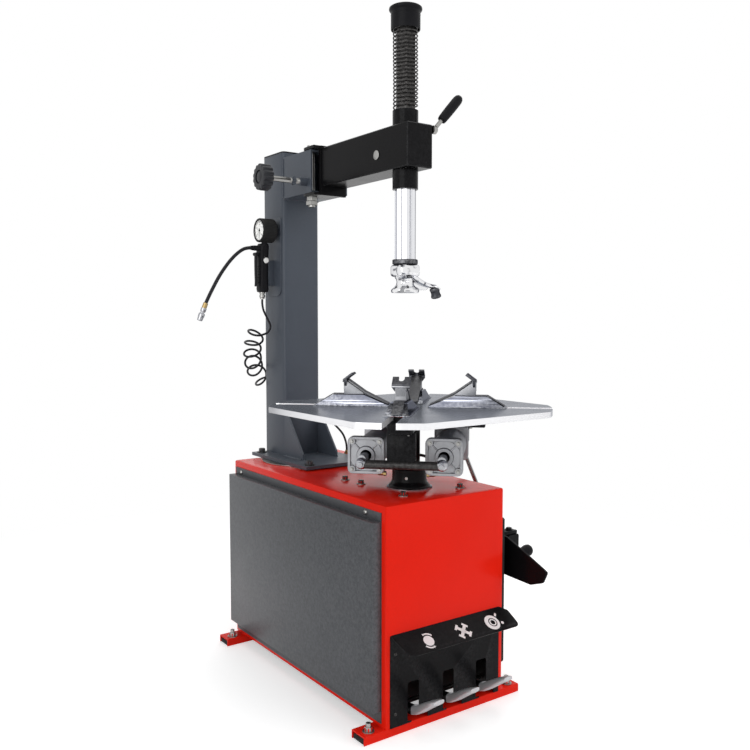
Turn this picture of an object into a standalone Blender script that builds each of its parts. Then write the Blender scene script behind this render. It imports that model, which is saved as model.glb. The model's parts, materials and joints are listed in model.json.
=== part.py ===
"""A swing-arm tire changer for car wheels.

Metres, +Z up. X runs to the operator's right and Y to the rear. Every piece is laid out from the
middle of the cabinet's front face at floor level, and the whole machine is moved at the end so
that its origin lies under the middle of its box.
"""

import math

import bmesh
import bpy
import numpy as np
from mathutils import Matrix, Vector

FIT = 0.0003  # gap between two pieces that touch
RUN = 0.0004  # radial gap of a turning or sliding fit

# Cabinet, cover and feet
CABINET_WIDTH = 0.386
CABINET_DEPTH = 0.810
CABINET_HEIGHT = 0.5477
CABINET_SHEET = 0.003
CABINET_BEND = 0.005
FOOT_LENGTH = 0.512
FOOT_DEPTH = 0.055
FOOT_HEIGHT = 0.022
FOOT_WALL = 0.004
FOOT_BEND = 0.0015
REAR_FOOT_START = 0.745
ANCHOR_INSET = 0.026
ANCHOR_STUD_RADIUS = 0.006
ANCHOR_STUD_TOP = 0.043
COVER_FLANGE = 0.002
COVER_DEPTH = 0.0265
COVER_SHEET = 0.002
COVER_FRONT = 0.017
COVER_REAR = 0.797
COVER_LOW = 0.032
COVER_HIGH = 0.5514
COVER_PAN_LOW = 0.062
COVER_PAN_HIGH = 0.530
BUFFER_THICKNESS = 0.0195
BUFFER_FRONT = 0.010
BUFFER_REAR = 0.200
BUFFER_LOW = 0.090
BUFFER_HIGH = 0.485

# Column, its base and the hinge at its top
COLUMN_WIDTH = 0.130
COLUMN_FRONT = 0.715
COLUMN_DEPTH = 0.130
COLUMN_TOP = 1.529
COLUMN_WALL = 0.005
COLUMN_CORNER = 0.012
BASE_WIDTH = 0.226
BASE_FRONT = 0.502
BASE_REAR = 0.847
BASE_THICKNESS = 0.010
SPACER_RADIUS = 0.140
SPACER_THICKNESS = 0.003
SPACER_CENTRE_Y = 0.690
GUSSET_FRONT = 0.608
GUSSET_TOP = 0.731
GUSSET_THICKNESS = 0.006
BRACKET_WIDTH = 0.128
BRACKET_FRONT = 0.550
BRACKET_LOW = 1.387
BRACKET_HIGH = 1.512
BRACKET_WALL = 0.006
PIN_X = -0.045
PIN_Y = 0.576
PIN_RADIUS = 0.010
PIN_HEAD_RADIUS = 0.0135
PIN_NUT_FLATS = 0.030

# Lock screw with its hand wheel
SCREW_HEIGHT = 1.420
SCREW_RADIUS = 0.008
SCREW_BOSS_RADIUS = 0.0125
SCREW_BOSS_LENGTH = 0.026
WHEEL_RADIUS = 0.038
WHEEL_WIDTH = 0.036
WHEEL_OUTER_X = -0.222
WHEEL_FLUTES = 12

# Swing arm, tool shaft and head
ARM_WIDTH = 0.084
ARM_FRONT = 0.117
ARM_REAR = 0.526
ARM_LOW = 1.403
ARM_HIGH = 1.515
ARM_WALL = 0.005
HEEL_THICKNESS = 0.012
HEEL_LOW = 1.378
HEEL_HIGH = 1.521
CLEVIS_THICKNESS = 0.008
CLEVIS_LEFT = -0.066
CLEVIS_RIGHT = 0.020
CLEVIS_REAR = 0.600
PLUG_RADIUS = 0.012
PLUG_Y = 0.249
PLUG_Z = 1.449
SHAFT_Y = 0.179
SHAFT_FLATS = 0.048
SHAFT_LOW = 1.1586
SHAFT_HEX_TOP = 1.600
SHAFT_SPINDLE_RADIUS = 0.020
GUIDE_RADIUS = 0.03375
GUIDE_LENGTH = 0.050
UPPER_GUIDE_LENGTH = 0.041
CAP_RADIUS = 0.0432
CAP_HIGH = 1.827
CAP_FLANGE = 0.025
CAP_CUP_RADIUS = 0.0384
CAP_CUP_DEPTH = 0.040
CAP_CUP_WALL = 0.0020
SPRING_WIRE_RADIUS = 0.0018
SPRING_RADIUS = 0.0331
SPRING_TURNS = 24
SPRING_WAVE = 0.0006
HEAD_RING_RADIUS = 0.03325
HEAD_RING_HEIGHT = 0.012
HEAD_LOW = 1.0838
HEAD_WIDTH = 0.074
HEAD_FINGER_REACH = 0.105
LEVER_Y = 0.120
LEVER_ROOT_Z = 1.503
LEVER_REACH = 0.084
LEVER_RISE = 0.094
LEVER_GRIP_RADIUS = 0.013
LEVER_GRIP_LENGTH = 0.092

# Turntable, slides, jaws and clamp cylinders
TABLE_Y = 0.158
TABLE_TOP = 0.7855
TABLE_THICKNESS = 0.015
TABLE_SIDE = 0.630
TABLE_RADIUS = 0.371
SLOT_WIDTH = 0.032
SLOT_START = 0.070
TABLE_HOLE_RADIUS = 0.0615
SPINDLE_RADIUS = 0.028
SPINDLE_FLANGE_RADIUS = 0.060
SPINDLE_FLANGE = 0.012
COLLAR_RADIUS = 0.046
COLLAR_FOOT_RADIUS = 0.0555
COLLAR_TOP = 0.622
COLLAR_LOW = 0.500
SLIDE_WIDTH = 0.060
SLIDE_RISE = 0.0295
SLIDE_INNER = 0.050
SLIDE_CREST_INNER = 0.120
SLIDE_CREST_OUTER = 0.204
SLIDE_OUTER = 0.250
SLIDE_NECK_INNER = 0.130
SLIDE_NECK_OUTER = 0.190
SLIDE_BLOCK_HEIGHT = 0.035
JAW_WIDTH = 0.028
JAW_FORK_WIDTH = 0.045
JAW_FACE = 0.1745
JAW_HEIGHT = 0.0412
JAW_CLAW_REACH = 0.0335
JAW_CLAW_RISE = 0.016
JAW_CLAW_THICKNESS = 0.006
JAW_NOTCH_RADIUS = 0.008
CYLINDER_SPREAD = 0.100
CYLINDER_HEIGHT = 0.667
CYLINDER_HEAD = 0.095
CYLINDER_HEAD_FRONT = 0.100
CYLINDER_HEAD_LENGTH = 0.025
CYLINDER_REAR = -0.170
CYLINDER_RADIUS = 0.043
CYLINDER_BORE = 0.014
ROD_RADIUS = 0.0105
CROSSBAR_PLACE = 0.160
CROSSBAR_RADIUS = 0.011
CROSSBAR_BALL = 0.014
YOKE_WIDTH = 0.072
YOKE_THICKNESS = 0.010
CLAMP_HOSE_RADIUS = 0.004

# Pedals and their guard
PEDAL_PLACES = {"pedal_table": -0.110, "pedal_clamp": 0.003, "pedal_breaker": 0.115}
PEDAL_WIDTH = 0.022
PEDAL_PAD_WIDTH = 0.032
PEDAL_SHAFT_Y = 0.050
PEDAL_SHAFT_Z = 0.048
PEDAL_SHAFT_RADIUS = 0.006
PEDAL_HUB_RADIUS = 0.013
PEDAL_TIP_Y = -0.105
PEDAL_TIP_Z = 0.115
PEDAL_TIP_THICKNESS = 0.014
PEDAL_ROOT_LOW = 0.038
PEDAL_ROOT_HIGH = 0.064
GUARD_LEFT = -0.181
GUARD_RIGHT = 0.178
GUARD_HIGH = 0.253
GUARD_SHEET = 0.002
GUARD_WINDOW_WIDTH = 0.036
GUARD_WINDOW_LOW = 0.026
GUARD_WINDOW_HIGH = 0.125
GUARD_NOTCH_WIDTH = 0.052
GUARD_NOTCH_HIGH = 0.050
GUARD_NOTCH_INSET = 0.006
GUARD_LAP = 0.004
VISOR_FORWARD = 0.057
VISOR_DROP = 0.038
VISOR_RIGHT = 0.197
VALVE_HALF_LENGTH = 0.175
VALVE_REAR = 0.130
VALVE_FRONT = 0.090
VALVE_HIGH = 0.095

# Bead breaker
BREAKER_PIVOT_X = 0.245
BREAKER_PIVOT_Y = 0.700
BREAKER_PIVOT_RADIUS = 0.010
BREAKER_FRONT_X = 0.292
BREAKER_FRONT_Y = 0.060
BREAKER_ARM_WIDTH = 0.044
BREAKER_ARM_LOW = 0.376
BREAKER_ARM_HIGH = 0.416
BREAKER_EAR = 0.012
BREAKER_PIN_RADIUS = 0.008
BLADE_X = 0.251
BLADE_THICKNESS = 0.012
BREAKER_ROD_Y = 0.380
BREAKER_ROD_RADIUS = 0.010
BREAKER_ROD_HOLE = 0.015
BREAKER_NUT_RADIUS = 0.018
BREAKER_NUT_GAP = 0.003
BREAKER_SLOT_START = 0.298
BREAKER_SLOT_END = 0.400
BREAKER_SLOT_HEIGHT = 0.024
BREAKER_CYLINDER_RADIUS = 0.083
BREAKER_CYLINDER_LEFT = -0.100
HANDLE_THICKNESS = 0.010
HANDLE_WIDTH = 0.016
HANDLE_GRIP_RADIUS = 0.011
HANDLE_X = 0.302
HANDLE_FOOT_Y = 0.150
HANDLE_Y = 0.274
HANDLE_BEND_Z = 0.610
HANDLE_TOP = 0.690

# Drive
GEARBOX_WIDTH = 0.150
GEARBOX_FRONT = 0.080
GEARBOX_REAR = 0.236
GEARBOX_LOW = 0.385
DRIVE_PLANE_Y = 0.258
BELT_WIDTH = 0.014
BELT_THICKNESS = 0.004
LARGE_PULLEY_RADIUS = 0.054
SMALL_PULLEY_RADIUS = 0.022
LARGE_PULLEY_Z = 0.430
SMALL_PULLEY_Z = 0.200
PULLEY_SHAFT_RADIUS = 0.008
MOTOR_RADIUS = 0.070
MOTOR_PLATE = 0.008
MOTOR_LENGTH = 0.200

# Inflator, gauge and hoses
HANGER_FRONT = 0.726
HANGER_REAR = 0.814
HANGER_LOW = 1.087
HANGER_HIGH = 1.331
HANGER_SHEET = 0.003
GAUGE_Y = 0.755
GAUGE_Z = 1.290
GAUGE_RADIUS = 0.034
GAUGE_BACK_X = -0.078
GAUGE_FACE_X = -0.130
GRIP_X = -0.106
GRIP_Y = 0.780
GRIP_LOW = 1.100
GRIP_WIDTH = 0.030
GRIP_DEPTH = 0.034
TRIGGER_THICKNESS = 0.004
TRIGGER_LENGTH = 0.105
HOSE_RADIUS = 0.0055
COIL_TUBE_RADIUS = 0.0034
COIL_RADIUS = 0.0265
COIL_TURNS = 12
COIL_POINTS_A_TURN = 9
COIL_CLOSE_TURNS = 4
COIL_CLOSE_PITCH = 0.033
COIL_TILT = math.radians(28)

# Places that follow from the sizes above
HALF_CABINET = CABINET_WIDTH / 2
CABINET_LOW = FOOT_HEIGHT + FIT
CABINET_TOP = CABINET_LOW + CABINET_HEIGHT
SPACER_LOW = CABINET_TOP + FIT
BASE_LOW = SPACER_LOW + SPACER_THICKNESS + FIT
BASE_TOP = BASE_LOW + BASE_THICKNESS
COLUMN_REAR = COLUMN_FRONT + COLUMN_DEPTH
COLUMN_LEFT = -COLUMN_WIDTH / 2
TABLE_LOW = TABLE_TOP - TABLE_THICKNESS
SLIDE_LOW = TABLE_TOP + FIT
SLIDE_CREST = SLIDE_LOW + SLIDE_RISE
BUFFER_FACE = HALF_CABINET + FIT + BUFFER_THICKNESS
CAP_CUP_LOW = CAP_HIGH - CAP_FLANGE - CAP_CUP_DEPTH
VISOR_ANGLE = math.atan2(VISOR_DROP, VISOR_FORWARD)
VISOR_LENGTH = math.hypot(VISOR_DROP, VISOR_FORWARD)
BREAKER_MIDDLE_Z = (BREAKER_ARM_LOW + BREAKER_ARM_HIGH) / 2
BREAKER_LEAN = math.atan2(BREAKER_FRONT_X - BREAKER_PIVOT_X, BREAKER_PIVOT_Y - BREAKER_FRONT_Y)
BREAKER_LENGTH = math.hypot(BREAKER_FRONT_X - BREAKER_PIVOT_X, BREAKER_PIVOT_Y - BREAKER_FRONT_Y)
GRIP_OUTER_X = GRIP_X - GRIP_WIDTH / 2

JAW_ANGLES = {"front": -135, "right": -45, "rear": 45, "left": 135}
CORD_PIECES = ("whip_hose", "whip_chuck", "coil_hose")

COATS = {
    "red_paint": ((0.78, 0.05, 0.03), 0.30, 0.0),
    "grey_paint": ((0.075, 0.085, 0.105), 0.35, 0.0),
    "black_paint": ((0.012, 0.012, 0.014), 0.38, 0.0),
    "black_rubber": ((0.015, 0.015, 0.015), 0.75, 0.0),
    "black_plastic": ((0.02, 0.02, 0.022), 0.45, 0.0),
    "steel": ((0.62, 0.63, 0.65), 0.28, 1.0),
    "chrome": ((0.80, 0.81, 0.83), 0.12, 1.0),
    "zinc": ((0.60, 0.60, 0.58), 0.35, 1.0),
    "aluminium": ((0.66, 0.67, 0.69), 0.42, 1.0),
    "dark_steel": ((0.12, 0.12, 0.13), 0.45, 1.0),
    "brass": ((0.62, 0.47, 0.20), 0.30, 1.0),
    "white_dial": ((0.85, 0.85, 0.83), 0.40, 0.0),
}


def clear_scene():
    for obj in list(bpy.data.objects):
        bpy.data.objects.remove(obj, do_unlink=True)


def new_collection(name, hidden):
    collection = bpy.data.collections.new(name)
    bpy.context.scene.collection.children.link(collection)
    collection.hide_render = hidden
    return collection


clear_scene()
machine_pieces = new_collection("tire_changer", False)
cutters = new_collection("cutters", True)


def new_material(name, colour, roughness, metallic):
    material = bpy.data.materials.new(name)
    material.use_nodes = True
    shader = material.node_tree.nodes["Principled BSDF"]
    shader.inputs["Base Color"].default_value = (*colour, 1.0)
    shader.inputs["Roughness"].default_value = roughness
    shader.inputs["Metallic"].default_value = metallic
    material.diffuse_color = (*colour, 1.0)
    return material


def new_empty(name, place, parent):
    """An empty at a point of the machine; what moves about that point is parented to it."""
    empty = bpy.data.objects.new(name, None)
    empty.empty_display_size = 0.03
    machine_pieces.objects.link(empty)
    empty["place"] = tuple(place)
    if parent:
        empty.parent = parent
        empty.location = Vector(place) - Vector(parent["place"])
    return empty


machine = new_empty("machine", (0, 0, 0), None)


# Shapes. Each function gives a bmesh in the machine's own coordinates.


def block(low, high, bevel=0.0, along="XYZ", segments=1):
    """A box from its low to its high corner, with the edges along the named axes bevelled."""
    bm = bmesh.new()
    bmesh.ops.create_cube(bm, size=1.0)
    low = Vector(low)
    high = Vector(high)
    bmesh.ops.scale(bm, vec=high - low, verts=bm.verts)
    bmesh.ops.translate(bm, vec=(high + low) / 2, verts=bm.verts)
    if bevel:
        axes = ["XYZ".index(letter) for letter in along]
        edges = [edge for edge in bm.edges if main_axis(edge) in axes]
        bmesh.ops.bevel(
            bm, geom=edges, offset=bevel, segments=segments, profile=0.5, affect="EDGES"
        )
    return bm


def main_axis(edge):
    span = edge.verts[1].co - edge.verts[0].co
    return max(range(3), key=lambda axis: abs(span[axis]))


def rod(start, end, radius, end_radius=None, sides=18, twist=0.0):
    """A straight cylinder, cone or prism between two points."""
    start = Vector(start)
    end = Vector(end)
    bm = bmesh.new()
    bmesh.ops.create_cone(
        bm,
        cap_ends=True,
        segments=sides,
        radius1=radius,
        radius2=radius if end_radius is None else end_radius,
        depth=(end - start).length,
    )
    turn = Vector((0, 0, 1)).rotation_difference(end - start).to_matrix().to_4x4()
    matrix = Matrix.Translation((start + end) / 2) @ turn @ Matrix.Rotation(twist, 4, "Z")
    bmesh.ops.transform(bm, matrix=matrix, verts=bm.verts)
    return bm


def hexagon(start, end, flats, twist=math.radians(30)):
    """A hexagonal prism. Upright, and with the usual twist, two of its flats face front and rear."""
    return rod(start, end, flats / math.sqrt(3), sides=6, twist=twist)


def ball(centre, radius, across=12, up=8):
    bm = bmesh.new()
    bmesh.ops.create_uvsphere(bm, u_segments=across, v_segments=up, radius=radius)
    bmesh.ops.translate(bm, vec=centre, verts=bm.verts)
    return bm


def bmesh_of(obj):
    """The evaluated shape of a helper object, which is then removed."""
    bpy.context.view_layer.update()
    graph = bpy.context.evaluated_depsgraph_get()
    mesh = bpy.data.meshes.new_from_object(obj.evaluated_get(graph))
    bm = bmesh.new()
    bm.from_mesh(mesh)
    bmesh.ops.remove_doubles(bm, verts=bm.verts, dist=0.00001)
    bpy.data.meshes.remove(mesh)
    bpy.data.objects.remove(obj, do_unlink=True)
    return bm


def plate(outlines, thickness, matrix):
    """A flat sheet: its outlines in local X and Y, centred on local Z, placed by a matrix."""
    curve = bpy.data.curves.new("outline", "CURVE")
    curve.dimensions = "2D"
    curve.fill_mode = "BOTH"
    curve.extrude = thickness / 2
    for outline in outlines:
        spline = curve.splines.new("POLY")
        spline.points.add(len(outline) - 1)
        for point, (x, y) in zip(spline.points, outline):
            point.co = (x, y, 0, 1)
        spline.use_cyclic_u = True
    obj = bpy.data.objects.new("outline", curve)
    cutters.objects.link(obj)
    bm = bmesh_of(obj)
    bmesh.ops.transform(bm, matrix=matrix, verts=bm.verts)
    bmesh.ops.recalc_face_normals(bm, faces=bm.faces)
    return bm


def side_view(x):
    """Local X and Y become the machine's Y and Z, at this X."""
    return Matrix(((0, 0, 1, x), (1, 0, 0, 0), (0, 1, 0, 0), (0, 0, 0, 1)))


def front_view(y):
    """Local X and Y become the machine's X and Z, at this Y."""
    return Matrix(((1, 0, 0, 0), (0, 0, -1, y), (0, 1, 0, 0), (0, 0, 0, 1)))


def turned(profile, centre, steps=26):
    """A solid of revolution. The profile holds (radius, height) points from its top to its foot."""
    mesh = bpy.data.meshes.new("profile")
    points = [(radius, 0, height) for radius, height in profile]
    mesh.from_pydata(points, [(i, i + 1) for i in range(len(points) - 1)], [])
    obj = bpy.data.objects.new("profile", mesh)
    cutters.objects.link(obj)
    screw = obj.modifiers.new("Turn", "SCREW")
    screw.steps = steps
    screw.render_steps = steps
    screw.use_merge_vertices = True
    screw.merge_threshold = 0.00001
    bm = bmesh_of(obj)
    bmesh.ops.translate(bm, vec=centre, verts=bm.verts)
    bmesh.ops.recalc_face_normals(bm, faces=bm.faces)
    return bm


def ring(centre, radius, bore, low, high, steps=32):
    """A round collar about an upright axis."""
    profile = [(bore, high), (radius, high), (radius, low), (bore, low), (bore, high)]
    return turned(profile, (centre[0], centre[1], 0), steps)


def bent_rod(points, radius, resolution=2):
    """A rod along straight runs, as a mesh."""
    obj = tube_object("bent", points, radius, resolution, cutters)
    bm = bmesh_of(obj)
    bmesh.ops.recalc_face_normals(bm, faces=bm.faces)
    return bm


def tube_object(name, points, radius, resolution, collection):
    curve = bpy.data.curves.new(name, "CURVE")
    curve.dimensions = "3D"
    curve.bevel_depth = radius
    curve.bevel_resolution = resolution
    curve.use_fill_caps = True
    spline = curve.splines.new("POLY")
    spline.points.add(len(points) - 1)
    for point, place in zip(spline.points, points):
        point.co = (*place, 1)
    obj = bpy.data.objects.new(name, curve)
    collection.objects.link(obj)
    return obj


def moved(bm, matrix):
    bmesh.ops.transform(bm, matrix=matrix, verts=bm.verts)
    return bm


def shelled(bm, open_side, thickness, name):
    """The box as a sheet of this thickness, laid inwards, without what faces open_side."""
    bm.normal_update()
    facing = [face for face in bm.faces if face.normal.dot(Vector(open_side)) > 0.3]
    bmesh.ops.delete(bm, geom=facing, context="FACES")
    obj = link(name, bm, cutters)
    solidify = obj.modifiers.new("Sheet", "SOLIDIFY")
    solidify.thickness = thickness
    solidify.offset = -1
    solidify.use_even_offset = True
    return bmesh_of(obj)


def rounded(corners, radius, steps=3):
    """The outline with each corner rounded, or with one radius for each corner."""
    radii = radius if isinstance(radius, (list, tuple)) else [radius] * len(corners)
    outline = []
    for i, corner in enumerate(corners):
        here = Vector(corner)
        before = Vector(corners[i - 1])
        after = Vector(corners[(i + 1) % len(corners)])
        if not radii[i]:
            outline.append(tuple(here))
            continue
        back = (before - here).normalized()
        ahead = (after - here).normalized()
        half = back.angle(ahead) / 2
        run = radii[i] / math.tan(half)
        for step in range(steps + 1):
            share = step / steps
            start = here + back * run
            end = here + ahead * run
            outline.append(tuple(start.lerp(here, share).lerp(here.lerp(end, share), share)))
    return outline


# Objects


def link(name, bm, collection):
    mesh = bpy.data.meshes.new(name)
    bm.to_mesh(mesh)
    bm.free()
    obj = bpy.data.objects.new(name, mesh)
    collection.objects.link(obj)
    return obj


def place_under(obj, parent):
    obj.parent = parent
    obj.matrix_parent_inverse = Matrix.Translation(-Vector(parent["place"]))


def piece(name, coat, parent, shapes, cuts=()):
    """One named solid: its shapes joined, less its cuts, under the empty that it moves with."""
    obj = link(name, shapes[0], machine_pieces)
    steps = [("UNION", shape) for shape in shapes[1:]]
    steps += [("DIFFERENCE", shape) for shape in cuts]
    for number, (operation, shape) in enumerate(steps):
        helper = link(f"{name}_{operation.lower()}_{number}", shape, cutters)
        helper.hide_render = True
        helper.display_type = "WIRE"
        place_under(helper, parent)
        modifier = obj.modifiers.new(helper.name, "BOOLEAN")
        modifier.operation = operation
        modifier.solver = "EXACT"
        modifier.object = helper
    obj.data.materials.append(materials[coat])
    place_under(obj, parent)
    return obj


materials = {name: new_material(name, *values) for name, values in COATS.items()}


# Cabinet and feet


def bolt_head(x, y, z, flats=0.013, height=0.008, washer=0.0115):
    """A hexagon head on its washer, standing on a level face and sunk a little into it."""
    return [
        rod((x, y, z - 0.001), (x, y, z + 0.002), washer, sides=12),
        hexagon((x, y, z + 0.001), (x, y, z + 0.002 + height), flats),
    ]


def make_cabinet():
    low = (-HALF_CABINET, 0, CABINET_LOW - CABINET_BEND)
    high = (HALF_CABINET, CABINET_DEPTH, CABINET_TOP)
    outer = block(low, high, CABINET_BEND, "XYZ", 2)
    shapes = [shelled(outer, (0, 0, -1), CABINET_SHEET, "cabinet_sheet")]
    for x, y in ((-0.091, 0.330), (-0.087, 0.2585), (-0.0875, 0.071), (0.096, 0.064)):
        shapes += bolt_head(x, y, CABINET_TOP)
    deep = 3 * CABINET_SHEET
    cuts = [
        rod((0, TABLE_Y, CABINET_TOP - deep), (0, TABLE_Y, CABINET_TOP + deep), TABLE_HOLE_RADIUS,
            sides=40),
        block(
            (-HALF_CABINET - deep, COVER_FRONT + 0.03, COVER_PAN_LOW + 0.03),
            (-HALF_CABINET + deep, COVER_REAR - 0.03, COVER_PAN_HIGH - 0.03),
        ),
        rod(
            (HALF_CABINET - deep, BREAKER_ROD_Y, BREAKER_MIDDLE_Z),
            (HALF_CABINET + deep, BREAKER_ROD_Y, BREAKER_MIDDLE_Z),
            BREAKER_ROD_HOLE,
        ),
    ]
    low = CABINET_LOW - deep
    for x in PEDAL_PLACES.values():
        half = GUARD_WINDOW_WIDTH / 2 + GUARD_LAP
        cuts.append(block((x - half, -deep, low), (x + half, deep, GUARD_WINDOW_HIGH + GUARD_LAP)))
        right = x - GUARD_NOTCH_INSET + GUARD_NOTCH_WIDTH + GUARD_LAP
        cuts.append(block((x, -deep, low), (right, deep, GUARD_NOTCH_HIGH + GUARD_LAP)))
    piece("cabinet_shell", "red_paint", machine, shapes, cuts)


def make_side_cover():
    face = -HALF_CABINET - FIT
    pan = COVER_DEPTH
    shapes = [
        block((face - COVER_FLANGE, COVER_FRONT, COVER_LOW), (face, COVER_REAR, COVER_HIGH)),
        block(
            (face - pan, COVER_FRONT, COVER_PAN_LOW),
            (face - COVER_FLANGE / 2, COVER_REAR, COVER_PAN_HIGH),
            0.003,
            "YZ",
            2,
        ),
    ]
    for y, z in ((0.7595, 0.538), (0.081, 0.542), (0.711, 0.054), (0.064, 0.051)):
        outer = face - COVER_FLANGE
        shapes.append(rod((outer + 0.001, y, z), (outer - 0.004, y, z), 0.006, 0.004, sides=12))
    cuts = [
        block(
            (face - pan + COVER_SHEET, COVER_FRONT + COVER_SHEET, COVER_PAN_LOW + COVER_SHEET),
            (face + pan, COVER_REAR - COVER_SHEET, COVER_PAN_HIGH - COVER_SHEET),
        )
    ]
    piece("side_cover", "grey_paint", machine, shapes, cuts)


def make_foot(name, start, anchor_y):
    half = FOOT_LENGTH / 2
    end = start + FOOT_DEPTH
    shapes = [block((-half, start, 0), (half, end, FOOT_HEIGHT), FOOT_BEND, "X", 1)]
    for side in (-1, 1):
        x = side * (half - ANCHOR_INSET)
        shapes += bolt_head(x, anchor_y, FOOT_HEIGHT, 0.017, 0.009, 0.014)
        shapes.append(rod((x, anchor_y, 0.004), (x, anchor_y, ANCHOR_STUD_TOP), ANCHOR_STUD_RADIUS,
                          sides=10))
    wall = FOOT_WALL
    cuts = [block((-half - wall, start + wall, -wall), (half + wall, end - wall, FOOT_HEIGHT - wall))]
    piece(name, "red_paint", machine, shapes, cuts)


def make_buffer():
    low = (HALF_CABINET + FIT, BUFFER_FRONT, BUFFER_LOW)
    high = (BUFFER_FACE, BUFFER_REAR, BUFFER_HIGH)
    piece("rubber_buffer", "black_rubber", machine, [block(low, high, 0.005, "XYZ", 1)])


# Column and hinge


def make_column():
    half = COLUMN_WIDTH / 2
    wall = COLUMN_WALL
    overlap = 0.002
    shapes = [
        block((-BASE_WIDTH / 2, BASE_FRONT, BASE_LOW), (BASE_WIDTH / 2, BASE_REAR, BASE_TOP)),
        block((-half, COLUMN_FRONT, BASE_TOP - overlap), (half, COLUMN_REAR, COLUMN_TOP),
              COLUMN_CORNER, "Z", 3),
    ]
    outline = [
        (GUSSET_FRONT, BASE_TOP - overlap),
        (COLUMN_FRONT + COLUMN_CORNER, BASE_TOP - overlap),
        (COLUMN_FRONT + COLUMN_CORNER, GUSSET_TOP),
        (COLUMN_FRONT - 0.004, GUSSET_TOP),
        (GUSSET_FRONT, BASE_TOP + 0.018),
    ]
    for side in (-1, 1):
        x = side * (half - 0.0012 - GUSSET_THICKNESS / 2)
        shapes.append(plate([outline], GUSSET_THICKNESS, side_view(x)))
        for y in (BASE_FRONT + 0.023, BASE_REAR - 0.022):
            shapes += bolt_head(side * (BASE_WIDTH / 2 - 0.025), y, BASE_TOP, 0.017, 0.010, 0.015)
    inner = [
        block(
            (-half + wall, COLUMN_FRONT + wall, BASE_TOP + overlap),
            (half - wall, COLUMN_REAR - wall, COLUMN_TOP + wall),
            COLUMN_CORNER - wall,
            "Z",
            1,
        )
    ]
    piece("column", "grey_paint", machine, shapes, inner)
    spacer = ring((0, SPACER_CENTRE_Y), SPACER_RADIUS, 0.030, SPACER_LOW,
                  SPACER_LOW + SPACER_THICKNESS, 36)
    piece("column_spacer", "zinc", machine, [spacer])
    lid_low = COLUMN_TOP + FIT
    plug = COLUMN_WALL + RUN
    shapes = [
        block((-half, COLUMN_FRONT, lid_low), (half, COLUMN_REAR, lid_low + 0.004), COLUMN_CORNER,
              "Z", 3),
        block((-half + plug + 0.004, COLUMN_FRONT + plug + 0.004, lid_low - 0.016),
              (half - plug - 0.004, COLUMN_REAR - plug - 0.004, lid_low + 0.002)),
    ]
    piece("column_cap", "black_plastic", machine, shapes)


def make_hinge_bracket():
    half = BRACKET_WIDTH / 2
    wall = BRACKET_WALL
    rear = COLUMN_FRONT - FIT
    boss_end = -half - SCREW_BOSS_LENGTH
    shapes = [
        block((-half, BRACKET_FRONT, BRACKET_LOW), (half, rear, BRACKET_HIGH)),
        rod((-half + wall, PIN_Y, SCREW_HEIGHT), (boss_end, PIN_Y, SCREW_HEIGHT), SCREW_BOSS_RADIUS),
    ]
    cuts = [
        block(
            (-half + wall, BRACKET_FRONT - wall, BRACKET_LOW + wall),
            (half - wall, rear - wall, BRACKET_HIGH - wall),
        ),
        rod((PIN_X, PIN_Y, BRACKET_LOW - wall), (PIN_X, PIN_Y, BRACKET_HIGH + wall), PIN_RADIUS + RUN),
        rod((boss_end - wall, PIN_Y, SCREW_HEIGHT), (PIN_X, PIN_Y, SCREW_HEIGHT), SCREW_RADIUS + RUN),
    ]
    piece("hinge_bracket", "grey_paint", machine, shapes, cuts)


def make_hinge_pin():
    head_low = HEEL_HIGH + FIT
    nut_high = HEEL_LOW - FIT
    shapes = [
        rod((PIN_X, PIN_Y, nut_high - 0.030), (PIN_X, PIN_Y, head_low + 0.002), PIN_RADIUS),
        rod((PIN_X, PIN_Y, head_low), (PIN_X, PIN_Y, head_low + 0.006), PIN_HEAD_RADIUS),
        hexagon((PIN_X, PIN_Y, nut_high - 0.012), (PIN_X, PIN_Y, nut_high), PIN_NUT_FLATS),
        hexagon((PIN_X, PIN_Y, nut_high - 0.0245), (PIN_X, PIN_Y, nut_high - 0.0135), PIN_NUT_FLATS,
                math.radians(12)),
    ]
    piece("hinge_pin", "chrome", machine, shapes)


def make_lock_screw(screw_place, wheel_place):
    tip = PIN_X - PIN_RADIUS - RUN
    wheel_inner = WHEEL_OUTER_X + WHEEL_WIDTH
    shapes = [
        rod((tip, PIN_Y, SCREW_HEIGHT), (WHEEL_OUTER_X + 0.006, PIN_Y, SCREW_HEIGHT), SCREW_RADIUS),
        hexagon((-0.104, PIN_Y, SCREW_HEIGHT), (-0.112, PIN_Y, SCREW_HEIGHT), 0.024),
    ]
    piece("lock_screw", "chrome", screw_place, shapes)
    shapes = [
        rod((wheel_inner, PIN_Y, SCREW_HEIGHT), (WHEEL_OUTER_X, PIN_Y, SCREW_HEIGHT), WHEEL_RADIUS,
            sides=24),
        rod((wheel_inner + 0.010, PIN_Y, SCREW_HEIGHT), (wheel_inner - 0.001, PIN_Y, SCREW_HEIGHT),
            0.018),
    ]
    cuts = [
        rod((wheel_inner + 0.020, PIN_Y, SCREW_HEIGHT),
            (WHEEL_OUTER_X + 0.006 - FIT, PIN_Y, SCREW_HEIGHT), SCREW_RADIUS + RUN),
    ]
    for flute in range(WHEEL_FLUTES):
        angle = 2 * math.pi * (flute + 0.5) / WHEEL_FLUTES
        y = PIN_Y + (WHEEL_RADIUS + 0.002) * math.cos(angle)
        z = SCREW_HEIGHT + (WHEEL_RADIUS + 0.002) * math.sin(angle)
        cuts.append(rod((wheel_inner + 0.002, y, z), (WHEEL_OUTER_X - 0.002, y, z), 0.006, sides=8))
    piece("hand_wheel", "black_plastic", wheel_place, shapes, cuts)


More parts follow.
